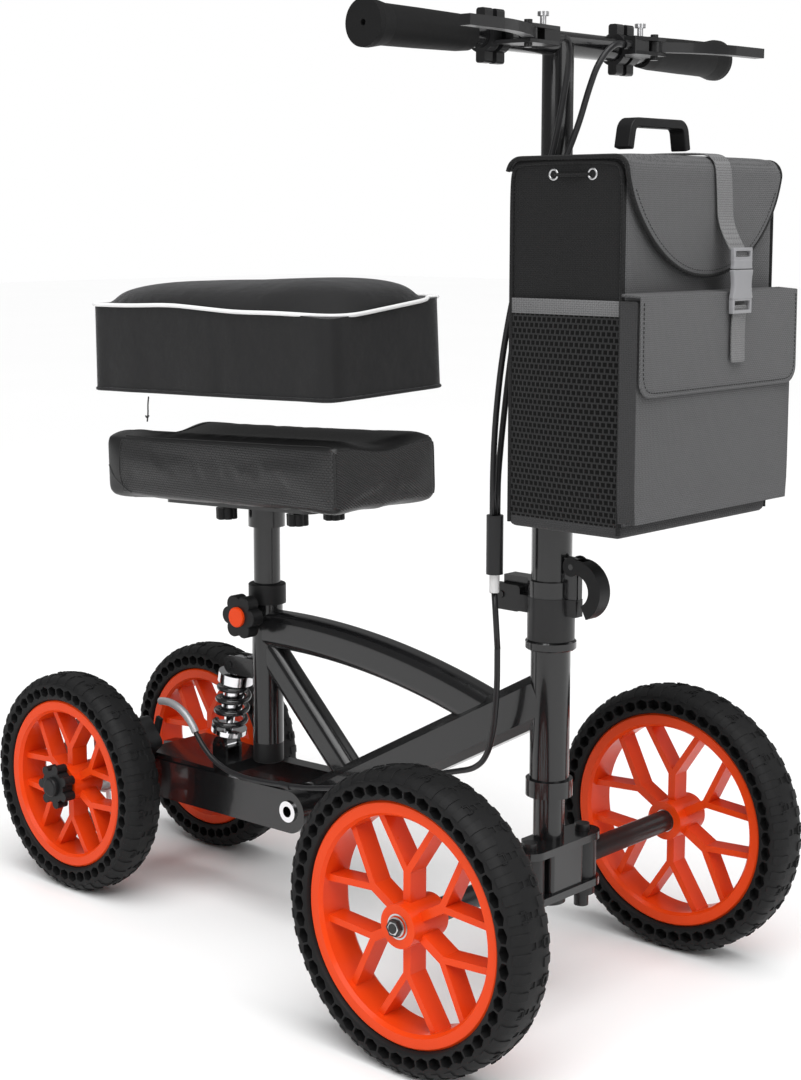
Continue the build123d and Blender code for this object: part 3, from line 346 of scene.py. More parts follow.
class Finishes:
    """Every finish of the scooter, each made once, by the record's slot."""

    BOOK: dict[str, Any] = {
        "frame_black": SolidFinish("gloss_black_powder_coat", (0.007, 0.007, 0.0075), 0.24, coat=0.5, depth=0.00004),
        "satin_black_metal": SolidFinish("satin_black_casting", (0.009, 0.009, 0.0095), 0.38, coat=0.15, depth=0.00006),
        "black_plastic": SolidFinish("black_moulding", (0.008, 0.008, 0.0085), 0.46, specular=0.24, depth=0.00007, grain=1900.0),
        "orange_plastic": SolidFinish("orange_nylon", (0.74, 0.056, 0.006), 0.30, coat=0.05, mottling=0.05,
                                      specular=0.14),
        "tyre": SolidFinish("tyre_rubber", (0.0075, 0.0075, 0.0078), 0.6, specular=0.2, depth=0.0001, grain=1100.0, mottling=0.2),
        "grip_rubber": SolidFinish("grip_rubber", (0.007, 0.007, 0.0072), 0.6, depth=0.00012, grain=900.0, specular=0.2),
        "cable_sheath": SolidFinish("cable_sheath", (0.013, 0.013, 0.014), 0.33),
        "bright_steel": SolidFinish("zinc_plated_steel", (0.56, 0.56, 0.57), 0.3, metallic=1.0, depth=0.00003),
        "chrome": SolidFinish("chrome_plate", (0.78, 0.78, 0.8), 0.1, metallic=1.0, unevenness=0.03, depth=0.00001),
        "spring_black": SolidFinish("spring_enamel", (0.012, 0.012, 0.013), 0.2, coat=0.6),
        "boot_silver": SolidFinish("silver_boot", (0.36, 0.36, 0.37), 0.34, metallic=0.4),
        "buckle_plastic": SolidFinish("grey_acetal", (0.26, 0.26, 0.27), 0.42, depth=0.00006),
        "white_plastic": SolidFinish("white_ferrule", (0.7, 0.7, 0.7), 0.35),
        "piping_white": SolidFinish("white_piping", (0.83, 0.83, 0.83), 0.6, mottling=0.04, depth=0.0002, grain=700.0),
        "bag_fabric": WovenFinish("grey_bag_cloth", (0.078, 0.078, 0.080)),
        "bag_side": WovenFinish("black_bag_cloth", (0.0085, 0.0085, 0.0088), contrast=0.55),
        # The netting's second colour is the painted shade in its holes.
        "bag_mesh": NettingFinish("bag_netting", (0.021, 0.021, 0.0215), (0.0012, 0.0012, 0.0012)),
        "webbing": WovenFinish("grey_webbing", (0.13, 0.13, 0.132), pitch=0.0021, contrast=0.3, depth=0.0005),
        # The pad's finish spreads this colour into painted highlight on the raised pattern and painted shade in its
        # grooves.
        "pad_vinyl": EmbossedFinish("pad_vinyl", (0.018, 0.018, 0.0185)),
        "cover_plush": PlushFinish("cover_plush", (0.013, 0.013, 0.0135)),
        "flap_cloth": WovenFinish("grey_flap_cloth", (0.085, 0.085, 0.087), plane=Plane.OVER),
        "strap_webbing": WovenFinish("strap_webbing", (0.15, 0.15, 0.152), pitch=0.0021, plane=Plane.OVER, contrast=0.3,
                                     depth=0.0005),
        "trim_cloth": WovenFinish("dark_trim_cloth", (0.034, 0.034, 0.035), contrast=0.3),
    }
    SLOT = {"flap_cloth": "bag_fabric", "strap_webbing": "webbing", "trim_cloth": "bag_fabric"}
    made: dict[str, bpy.types.Material] = {}

    @classmethod
    def get(cls, name: str) -> bpy.types.Material:
        """The material of a finish, made on first use."""
        if name not in cls.made:
            cls.made[name] = cls.BOOK[name].make()
        return cls.made[name]


# ------------------------------------------------------------------ modelling moves
class Bench:
    """The modelling moves that the pieces are made with."""

    @staticmethod
    def only(obj: Optional[bpy.types.Object] = None) -> None:
        """Deselects everything, then selects one object if there is one."""
        bpy.ops.object.select_all(action="DESELECT")
        bpy.context.view_layer.objects.active = obj
        if obj is not None:
            obj.select_set(True)

    @staticmethod
    def name(name: str) -> bpy.types.Object:
        """Names the object that was just added and settles its place in its mesh."""
        obj = bpy.context.object
        obj.name = obj.data.name = name
        bpy.ops.object.transform_apply(location=True, rotation=True, scale=True)
        return obj

    @classmethod
    def block(cls, name: str, low: Point, high: Point) -> bpy.types.Object:
        """A block between two corners.

        Args:
            name: the piece's name.
            low: its lowest corner.
            high: its highest corner.

        Returns:
            The new object.
        """
        cls.only()
        middle = [(a + b) / 2 for a, b in zip(low, high)]
        bpy.ops.mesh.primitive_cube_add(size=1.0, location=middle, scale=[b - a for a, b in zip(low, high)])
        return cls.name(name)

    @classmethod
    def cloth(cls, name: str, columns: int, rows: int, lay: Callable[[float, float], Point]) -> bpy.types.Object:
        """A sheet of cloth laid by a function of its two shares, each from -1 to 1."""
        cls.only()
        bpy.ops.mesh.primitive_grid_add(x_subdivisions=columns, y_subdivisions=rows, size=2.0)
        obj = cls.name(name)
        cls.shape(obj, lambda p: Vector(lay(p.x, p.y)))
        return obj

    @staticmethod
    def shape(obj: bpy.types.Object, move: Move) -> None:
        """Moves every vertex of a mesh by hand."""
        for vertex in obj.data.vertices:
            vertex.co = move(vertex.co.copy())
        obj.data.update()

    @classmethod
    def begin(cls, obj: bpy.types.Object) -> None:
        """Enters edit mode on one object with nothing picked."""
        cls.only(obj)
        bpy.ops.object.mode_set(mode="EDIT")
        bpy.ops.mesh.select_all(action="DESELECT")

    @staticmethod
    def end() -> None:
        """Leaves edit mode."""
        bpy.ops.object.mode_set(mode="OBJECT")

    @staticmethod
    def pick(obj: bpy.types.Object, part: Part, test: Callable[[Any], bool]) -> None:
        """Picks, in edit mode, the elements that pass a test."""
        bpy.ops.mesh.select_mode(type=part.value)
        bpy.ops.mesh.select_all(action="DESELECT")
        mesh = bmesh.from_edit_mesh(obj.data)
        for item in {Part.VERT: mesh.verts, Part.EDGE: mesh.edges, Part.FACE: mesh.faces}[part]:
            if test(item):
                item.select_set(True)
        bmesh.update_edit_mesh(obj.data)

    @classmethod
    def apply(cls, obj: bpy.types.Object, kind: str, **settings: Any) -> None:
        """Adds a modifier and applies it."""
        cls.only(obj)
        modifier = obj.modifiers.new(kind.lower(), kind)
        for key, value in settings.items():
            setattr(modifier, key, value)
        bpy.ops.object.modifier_apply(modifier=modifier.name)

    @classmethod
    def soften(cls, obj: bpy.types.Object, width: float, segments: int = 2, angle: float = 35.0) -> None:
        """Rounds the sharp edges and shades the rest smooth."""
        cls.apply(obj, "BEVEL", width=width, segments=segments, limit_method="ANGLE", angle_limit=math.radians(angle))
        cls.smooth(obj, angle)

    @classmethod
    def smooth(cls, obj: bpy.types.Object, angle: float = 40.0) -> None:
        """Shades smooth up to an angle."""
        cls.only(obj)
        bpy.ops.object.shade_smooth_by_angle(angle=math.radians(angle))

    @classmethod
    def tidy(cls, obj: bpy.types.Object) -> None:
        """Merges doubles and turns the faces outwards."""
        cls.begin(obj)
        bpy.ops.mesh.select_all(action="SELECT")
        bpy.ops.mesh.remove_doubles(threshold=0.00002)
        bpy.ops.mesh.normals_make_consistent(inside=False)
        cls.end()

    @classmethod
    def curve(cls, name: str, points: Sequence[Sequence[float]], radius: float, closed: bool) -> bpy.types.Object:
        """A smooth round cord through a row of points, still a curve."""
        cls.only()
        data = bpy.data.curves.new(name, "CURVE")
        data.dimensions = "3D"
        data.bevel_depth = radius
        data.bevel_resolution = 2
        data.use_fill_caps = True
        data.resolution_u = 4
        spline = data.splines.new("NURBS")
        spline.points.add(len(points) - 1)
        for item, point in zip(spline.points, points):
            item.co = (*point, 1.0)
        spline.order_u = 3
        spline.use_endpoint_u = not closed
        spline.use_cyclic_u = closed
        obj = bpy.data.objects.new(name, data)
        bpy.context.scene.collection.objects.link(obj)
        return obj

    @classmethod
    def tube(cls, name: str, points: Sequence[Sequence[float]], radius: float, closed: bool = False) -> bpy.types.Object:
        """A smooth round cord through a row of points, as a mesh."""
        obj = cls.curve(name, points, radius, closed)
        cls.only(obj)
        bpy.ops.object.convert(target="MESH")
        obj = bpy.context.object
        cls.tidy(obj)
        cls.smooth(obj, 60.0)
        return obj

    @classmethod
    def stitches(cls, name: str, points: Sequence[Sequence[float]], pitch: float = 0.0042,
                 thread: float = 0.0004) -> bpy.types.Object:
        """A run of stitches along a row of points, all copies of one."""
        path = cls.curve(f"{name}_path", points, 0.0, False)
        path.data.use_fill_caps = False
        half = pitch * 0.31
        stitch = cls.block(name, (0.0, -thread, -thread), (2 * half, thread, thread))
        cls.apply(stitch, "BEVEL", width=thread * 0.5, segments=1)
        cls.apply(stitch, "ARRAY", fit_type="FIT_CURVE", curve=path, use_relative_offset=False,
                  use_constant_offset=True, constant_offset_displace=(pitch, 0.0, 0.0))
        cls.apply(stitch, "CURVE", object=path, deform_axis="POS_X")
        bpy.data.objects.remove(path)
        return stitch

    @classmethod
    def copy(cls, name: str, node: str) -> bpy.types.Object:
        """A merged, smooth copy of a CAD node."""
        obj = bpy.data.objects.new(name, frame["nodes"][node].data.copy())
        bpy.context.scene.collection.objects.link(obj)
        cls.begin(obj)
        bpy.ops.mesh.select_all(action="SELECT")
        bpy.ops.mesh.remove_doubles(threshold=0.00001)
        cls.end()
        cls.smooth(obj, 40.0)
        return obj

    @staticmethod
    def hug(obj: bpy.types.Object, points: Sequence[Vector], lift: float = 0.0) -> list[Vector]:
        """The points moved onto a piece's surface, raised by lift."""
        tree = BVHTree.FromPolygons([v.co for v in obj.data.vertices], [p.vertices for p in obj.data.polygons])
        found = [tree.find_nearest(Vector(p)) for p in points]
        return [place + normal * lift for place, normal, _, _ in found]

    @staticmethod
    def girdle(obj: bpy.types.Object, height: Callable[[float, float], float], lift: float) -> list[Vector]:
        """Points on the outside of an upright form, all the way round it.

        Args:
            obj: the form.
            height: the height at a point of the plan.
            lift: how far outside the surface the points lie.

        Returns:
            The points in order.
        """
        tree = BVHTree.FromPolygons([v.co for v in obj.data.vertices], [p.vertices for p in obj.data.polygons])
        wide = max(v.co.x for v in obj.data.vertices)
        deep = max(v.co.y for v in obj.data.vertices)
        steps, found = 132, []
        for i in range(steps):
            c, s = math.cos(2 * math.pi * (i + 0.5) / steps), math.sin(2 * math.pi * (i + 0.5) / steps)
            way = Vector((math.copysign(abs(c) ** 0.45, c) * wide, math.copysign(abs(s) ** 0.45, s) * deep, 0.0))
            start = way * 1.6 + Vector((0.0, 0.0, height(way.x, way.y)))
            place, normal, _, _ = tree.ray_cast(start, -way.normalized())
            found.append(place + Vector((normal.x, normal.y, 0.0)).normalized() * lift)
        return found

    @classmethod
    def inflate(cls, obj: bpy.types.Object, voxel: float, pressure: float, cap: float, mould: Move,
                frames: int = 20) -> None:
        """Remeshes a form, moulds it and swells it as cloth, with a cap on how far a point moves.

        Args:
            obj: the closed form.
            voxel: the remesh size in metres.
            pressure: the cloth's inner pressure.
            cap: the farthest that a point may move.
            mould: a move for each vertex before the cloth is run.
            frames: how many frames the cloth runs.
        """
        cls.apply(obj, "REMESH", mode="VOXEL", voxel_size=voxel)
        cls.shape(obj, mould)
        rest = [v.co.copy() for v in obj.data.vertices]
        cloth = obj.modifiers.new("cloth", "CLOTH")
        cloth.settings.use_pressure = True
        cloth.settings.uniform_pressure_force = pressure
        cloth.settings.effector_weights.gravity = 0.0
        cloth.settings.quality = 4
        cloth.point_cache.frame_start, cloth.point_cache.frame_end = 1, frames
        scene = bpy.context.scene
        for number in range(1, frames + 1):
            scene.frame_set(number)
        swollen = obj.evaluated_get(bpy.context.evaluated_depsgraph_get()).data
        ends = [v.co.copy() for v in swollen.vertices]
        obj.modifiers.remove(cloth)
        scene.frame_set(1)
        for vertex, start, end in zip(obj.data.vertices, rest, ends):
            step = end - start
            vertex.co = start + (step * (cap / step.length) if step.length > cap else step)
        obj.data.update()

    @staticmethod
    def mount(obj: bpy.types.Object, body: str, finish: str, *stands_for: str) -> bpy.types.Object:
        """Gives a finished piece its finish and its body.

        Args:
            obj: the piece.
            body: the CAD body that it rides on.
            finish: the finish's name.
            *stands_for: CAD nodes that it is shown in place of.

        Returns:
            The same piece.
        """
        if not obj.data.materials:
            obj.data.materials.append(Finishes.get(finish))
        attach(obj, body)
        Finishes.SLOT.get(finish, finish)
        if stands_for:
            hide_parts(*stands_for)
        LOG.info("%s rides on %s", obj.name, body)
        return obj


# ------------------------------------------------------------------ wheels
@dataclass
class HoneycombTyre:
    """Solid tyre with a ring of hexagonal cells in each side and stepped tread blocks."""

    node: str
    body: str
    centre: Point
    outer: float
    seat: float
    half_width: float
    cells: int
    offset: float = 0.0

    def profile(self) -> list[tuple[float, float]]:
        """The section as (distance across, radius), a closed loop."""
        height = self.outer - self.seat
        half = [(0.0065, 0.004), (0.0020, 0.05), (0.0004, 0.13), (0.0, 0.62), (0.0010, 0.70), (0.0042, 0.85),
                (0.0095, 0.935), (0.0175, 0.985)]
        right = [(self.half_width - inset, self.seat + share * height) for inset, share in half]
        left = [(-x, r) for x, r in reversed(right)]
        return [*right, (0.0, self.outer - 0.0001), *left]

    def turn(self, point: Vector) -> float:
        """A point's turn about the axle, in half cells."""
        return math.atan2(point.z - self.centre[2], point.y - self.centre[1]) * self.cells / math.pi

    def radius(self, point: Vector) -> float:
        """A point's distance from the axle."""
        return math.hypot(point.z - self.centre[2], point.y - self.centre[1])

    def build(self) -> None:
        """Models the tyre and puts it on its wheel."""
        profile = self.profile()
        Bench.only()
        bpy.ops.mesh.primitive_circle_add(vertices=len(profile), radius=0.01, location=self.centre)
        tyre = Bench.name(f"{self.node}_tread")
        for vertex, (across, radius) in zip(tyre.data.vertices, profile):
            vertex.co = (self.centre[0] + across, self.centre[1], self.centre[2] + radius)
        Bench.begin(tyre)
        bpy.ops.mesh.select_all(action="SELECT")
        bpy.ops.mesh.spin(steps=2 * self.cells, angle=2 * math.pi, center=self.centre, axis=(1, 0, 0))
        bpy.ops.mesh.select_all(action="SELECT")
        bpy.ops.mesh.remove_doubles(threshold=0.0002)
        bpy.ops.mesh.normals_make_consistent(inside=False)
        self.offset = round(self.turn(next(iter(bmesh.from_edit_mesh(tyre.data).verts)).co) * 2) / 2 % 1.0
        self.cut_cells(tyre)
        self.cut_tread(tyre)
        Bench.end()
        Bench.soften(tyre, 0.0004, 1, 38.0)
        Bench.mount(tyre, self.body, "tyre", self.node)

    def step(self, point: Vector) -> int:
        """The number of the half cell edge nearest to a point."""
        return round(self.turn(point) - self.offset)

    def cut_cells(self, tyre: bpy.types.Object) -> None:
        """Presses the hexagonal cells into both sides."""
        height = self.outer - self.seat
        inner, outer = self.seat + 0.13 * height, self.seat + 0.62 * height

        def crosses(edge: bmesh.types.BMEdge) -> bool:
            a, b = edge.verts
            radii = sorted((self.radius(a.co), self.radius(b.co)))
            return (abs(radii[0] - inner) < 0.0004 and abs(radii[1] - outer) < 0.0004 and self.step(a.co) % 2 == 1
                    and self.step(a.co) == self.step(b.co))

        Bench.pick(tyre, Part.EDGE, crosses)
        bpy.ops.mesh.dissolve_edges(use_verts=False)
        Bench.pick(tyre, Part.FACE, lambda f: len(f.verts) == 6)
        bpy.ops.mesh.inset(thickness=0.0011, use_individual=True)
        mesh = bmesh.from_edit_mesh(tyre.data)
        for face in [f for f in mesh.faces if f.select]:
            middle = face.calc_center_median()
            where, level = self.turn(middle), (inner + outer) / 2
            for vertex in face.verts:
                aside = abs((self.turn(vertex.co) - where + self.cells) % (2 * self.cells) - self.cells)
                if aside > 0.4:
                    radius = self.radius(vertex.co)
                    wanted = level + (radius - level) * 0.5
                    vertex.co.y = self.centre[1] + (vertex.co.y - self.centre[1]) * wanted / radius
                    vertex.co.z = self.centre[2] + (vertex.co.z - self.centre[2]) * wanted / radius
        bmesh.update_edit_mesh(tyre.data)
        for side in (-1.0, 1.0):
            Bench.pick(tyre, Part.FACE, lambda f: len(f.verts) == 6
                       and (f.calc_center_median().x - self.centre[0]) * side > 0)
            bpy.ops.mesh.extrude_region_move(TRANSFORM_OT_translate={"value": (-0.011 * side, 0.0, 0.0)})

    def cut_tread(self, tyre: bpy.types.Object) -> None:
        """Raises the shoulder blocks and cuts the short sipes between them."""
        height = self.outer - self.seat

        def block(face: bmesh.types.BMFace) -> bool:
            middle = face.calc_center_median()
            share = (self.radius(middle) - self.seat) / height
            left = middle.x < self.centre[0]
            return 0.70 < share < 0.965 and math.floor(self.turn(middle) - self.offset) % 2 == int(left)

        def sipe(face: bmesh.types.BMFace) -> bool:
            middle = face.calc_center_median()
            share = (self.radius(middle) - self.seat) / height
            return share > 0.965 and math.floor(self.turn(middle) - self.offset) % 3 == 0

        Bench.pick(tyre, Part.FACE, block)
        bpy.ops.mesh.extrude_region_shrink_fatten(TRANSFORM_OT_shrink_fatten={"value": 0.0011})
        Bench.pick(tyre, Part.FACE, sipe)
        bpy.ops.mesh.inset(thickness=0.0016, use_individual=True)
        bpy.ops.mesh.extrude_region_shrink_fatten(TRANSFORM_OT_shrink_fatten={"value": -0.0012})


@dataclass
class HubTrim:
    """Bright bearing shields on both faces of a hub, and a bolt in the end of a front axle."""

    place: str
    wheel: str
    centre: Point
    half_length: float
    axle: float
    bolt_body: Optional[str] = None

    def build(self) -> None:
        """Models the shields and the bolt."""
        for side, word in ((-1.0, "near"), (1.0, "far")):
            x = self.centre[0] + side * (self.half_length + 0.0002)
            Bench.only()
            bpy.ops.mesh.primitive_circle_add(vertices=48, radius=0.0128, fill_type="NGON",
                                              location=(x, *self.centre[1:]), rotation=(0, side * math.pi / 2, 0))
            shield = Bench.name(f"{self.place}_bearing_{word}")
            Bench.begin(shield)
            bpy.ops.mesh.select_mode(type="FACE")
            bpy.ops.mesh.select_all(action="SELECT")
            bpy.ops.mesh.inset(thickness=0.0014)
            bpy.ops.mesh.inset(thickness=0.0006, depth=-0.0005)
            bpy.ops.mesh.inset(thickness=0.0128 - 0.002 - self.axle - 0.0012)
            bpy.ops.mesh.delete(type="FACE")
            Bench.end()
            Bench.apply(shield, "SOLIDIFY", thickness=0.0004, offset=0.0)
            Bench.smooth(shield, 30.0)
            Bench.mount(shield, self.wheel, "bright_steel")
        if self.bolt_body:
            self.bolt()

    def bolt(self) -> None:
        """Models the hexagon bolt and its washer."""
        side = math.copysign(1.0, self.centre[0])
        face = self.centre[0] + side * (self.half_length + 0.0009)
        Bench.only()
        bpy.ops.mesh.primitive_cylinder_add(vertices=36, radius=0.0098, depth=0.0012,
                                            location=(face + side * 0.0006, *self.centre[1:]),
                                            rotation=(0, math.pi / 2, 0))
        washer = Bench.name(f"{self.place}_washer")
        Bench.soften(washer, 0.0002)
        Bench.mount(washer, self.bolt_body, "bright_steel")
        Bench.only()
        bpy.ops.mesh.primitive_cylinder_add(vertices=6, radius=0.0075, depth=0.005,
                                            location=(face + side * 0.0037, *self.centre[1:]),
                                            rotation=(0, math.pi / 2, 0))
        head = Bench.name(f"{self.place}_bolt_head")
        Bench.soften(head, 0.0007)
        Bench.mount(head, self.bolt_body, "bright_steel")


# ------------------------------------------------------------------ knee rest
@dataclass
class KneeRest:
    """The tilted knee pad, and the plush cover that floats above it until it is pulled down."""

    origin: Point = (0.0, 0.138, 0.501)
    tilt: float = math.radians(2.2)
    width: float = 0.180
    length: float = 0.400
    height: float = 0.082
    channel: float = 0.009
    cover_width: float = 0.190
    cover_length: float = 0.410
    cover_low: float = 0.125
    cover_edge: float = 0.236
    cover_top: float = 0.265

    def world(self, p: Vector) -> Vector:
        """A point of the tilted pad in the row frame."""
        s, c = math.sin(self.tilt), math.cos(self.tilt)
        return Vector((p.x, self.origin[1] + p.y * c + p.z * s, self.origin[2] - p.y * s + p.z * c))

    def pad_form(self, p: Vector) -> Vector:
        """Sinks the saddle channel into the pad's top."""
        if abs(p.x) < 0.074 and p.z > self.height * 0.5:
            share = min(1.0, (p.z / self.height - 0.5) * 2)
            p.z -= self.channel * 0.5 * (1 + math.cos(math.pi * p.x / 0.074)) * share
        return p

    def build_pad(self) -> None:
        """Models the pad, its seams and its piping."""
        slack = 0.0025
        w, l, h = self.width / 2 - slack, self.length / 2 - slack, self.height
        pad = Bench.block("knee_pad_cushion", (-w, -l, slack), (w, l, h - slack))
        Bench.apply(pad, "BEVEL", width=0.010, segments=4, limit_method="ANGLE")
        Bench.inflate(pad, 0.005, 4.0, 0.003, self.pad_form)
        Bench.apply(pad, "SMOOTH", factor=0.5, iterations=1)
        Bench.apply(pad, "SUBSURF", levels=1)
        self.mark(pad)
        seams = self.pad_seams(pad)
        for obj in (pad, *seams):
            Bench.shape(obj, self.world)
        Bench.smooth(pad, 180.0)
        Bench.mount(pad, "seat_post", "pad_vinyl", "knee_pad")
        for seam in seams:
            Bench.mount(seam, "seat_post", "pad_vinyl")

    def mark(self, pad: bpy.types.Object) -> None:
        """Marks which faces carry the pressed pattern, for the finish."""
        side = pad.data.attributes.new("side", "FLOAT", "POINT")
        end = pad.data.attributes.new("end", "FLOAT", "POINT")
        for i, v in enumerate(pad.data.vertices):
            inside = 0.006 < v.co.z < self.height - 0.010 and v.co.y < self.length / 2 - 0.036
            side.data[i].value = float(abs(v.normal.x) > 0.8 and inside)
            end.data[i].value = float(v.normal.y < -0.8 and inside)

    def pad_seams(self, pad: bpy.types.Object) -> list[bpy.types.Object]:
        """The sewn seams of the pad's cover."""
        w, l, h = self.width / 2, self.length / 2, self.height
        back = l - 0.036
        ring = [Vector((x, back, z)) for x, z in self.loop(w, h)]
        runs = {"rear_panel": ring}
        for word, side in (("right", -1.0), ("left", 1.0)):
            runs[f"top_{word}"] = [Vector((side * (w - 0.006), -l + 0.012 + i * 0.012, h)) for i in range(30)]
            runs[f"corner_{word}"] = [Vector((side * (w - 0.004), -l - 0.001, 0.006 + i * 0.006)) for i in range(12)]
            runs[f"gusset_{word}"] = [Vector((side * (w + 0.002), l - 0.008 - i * 0.0045, 0.040 - i * 0.0042))
                                      for i in range(10)]
        return [Bench.tube(f"pad_seam_{word}", Bench.hug(pad, run, 0.0001), 0.0009, word == "rear_panel")
                for word, run in runs.items()]

    @staticmethod
    def loop(w: float, h: float) -> list[tuple[float, float]]:
        """Points round the pad's section, evenly spaced."""
        steps = 48
        found = []
        for i in range(steps):
            a = 2 * math.pi * i / steps
            c, s = math.cos(a), math.sin(a)
            reach = min(w / abs(c) if c else 9.0, h / 2 / abs(s) if s else 9.0)
            found.append((c * reach, h / 2 + s * reach))
        return found

    def cover_form(self, p: Vector) -> Vector:
        """Crowns the cover's top and lets its skirt hang in slow folds."""
        w, l = self.cover_width / 2, self.cover_length / 2
        edge = self.edge(p.x, p.y)
        if p.z > edge - 0.004:
            out = (min(1.0, abs(p.x) / w) ** 3.4 + min(1.0, abs(p.y) / l) ** 4.2) ** (1 / 3.0)
            dome = max(0.0, 1.0 - min(1.0, out) ** 2.6) ** 0.47
            saddle = 0.004 * math.cos(math.pi * p.x / w / 2) * (1 - abs(p.y) / l)
            p.z = edge + (p.z - edge) * dome - (saddle if p.z > self.cover_top - 0.01 else 0.0)
        else:
            low = (edge - p.z) / (edge - self.cover_low)
            fold = math.sin(p.y * 31.0 + p.x * 24.0) * 0.0013 + math.sin(p.y * 67.0 - p.x * 40.0 + 1.0) * 0.0007
            p.x += math.copysign(fold * low, p.x)
            p.y += math.copysign(fold * 0.7 * low, p.y)
        return p

    def edge(self, x: float, y: float) -> float:
        """The height of the cover's sewn edge, which sags towards the front right corner."""
        right = min(1.0, max(0.0, 0.5 - x / self.cover_width))
        ahead = min(1.0, max(0.0, 0.5 - y / self.cover_length))
        return self.cover_edge - 0.021 * right * ahead ** 1.6 + 0.0012 * math.sin(y * 34.0)

    def hem_height(self, x: float, y: float) -> float:
        """The height of the cover's hem, which hangs a little lower at the front right corner."""
        return self.cover_low + 0.0065 + 0.0032 * (x / self.cover_width + y / self.cover_length) * 2

    def build_cover(self) -> None:
        """Models the cover with its piping, hem and drawcord."""
        slack = 0.002
        w, l = self.cover_width / 2 - slack, self.cover_length / 2 - slack
        cover = Bench.block("pad_cover_plush", (-w, -l, self.cover_low - 0.012), (w, l, self.cover_top - slack))
        Bench.begin(cover)
        Bench.pick(cover, Part.EDGE, lambda e: abs(e.verts[0].co.z - e.verts[1].co.z) > 0.01)
        bpy.ops.mesh.bevel(offset=0.015, segments=6)
        Bench.end()
        Bench.inflate(cover, 0.0055, 3.0, 0.0045, self.cover_form)
        Bench.apply(cover, "SMOOTH", factor=0.5, iterations=4)
        Bench.begin(cover)
        bpy.ops.mesh.select_all(action="SELECT")
        lean = (-0.0064 / self.cover_width, -0.0064 / self.cover_length, 1.0)
        bpy.ops.mesh.bisect(plane_co=(0, 0, self.cover_low + 0.0065), plane_no=lean, clear_inner=True)
        Bench.end()
        Bench.apply(cover, "SOLIDIFY", thickness=0.0022, offset=-1.0)
        Bench.apply(cover, "SUBSURF", levels=1)
        rim = Bench.girdle(cover, self.edge, 0.0012)
        hem = Bench.girdle(cover, lambda x, y: self.hem_height(x, y) + 0.0022, -0.0002)
        piping = Bench.tube("pad_cover_piping", rim, 0.0024, True)
        casing = Bench.tube("pad_cover_hem", hem, 0.0022, True)
        for obj in (cover, piping, casing):
            Bench.shape(obj, self.world)
        Bench.smooth(cover, 180.0)
        Bench.mount(cover, "pad_cover", "cover_plush", "pad_cover")
        Bench.mount(piping, "pad_cover", "piping_white")
        Bench.mount(casing, "pad_cover", "cover_plush")
        self.drawcord()

    def drawcord(self) -> None:
        """Models the short knotted end of the cover's drawcord."""
        start = self.world(Vector((-0.0945, 0.098, self.cover_low + 0.001)))
        steps = [(0.0, 0.0, 0.0), (-0.0004, 0.0006, -0.006), (0.0003, 0.0020, -0.012), (-0.0002, 0.0012, -0.018),
                 (0.0004, 0.0026, -0.024), (0.0, 0.0032, -0.030)]
        cord = Bench.tube("pad_cover_drawcord", [start + Vector(step) for step in steps], 0.0009)
        Bench.mount(cord, "pad_cover", "cable_sheath")
        knot = [start + Vector((0.0018 * math.cos(a), 0.003 + 0.0018 * math.sin(a), -0.024 - 0.0012 * math.sin(2 * a)))
                for a in (2 * math.pi * i / 9 for i in range(9))]
        Bench.mount(Bench.tube("pad_cover_cord_knot", knot, 0.0009, True), "pad_cover", "cable_sheath")


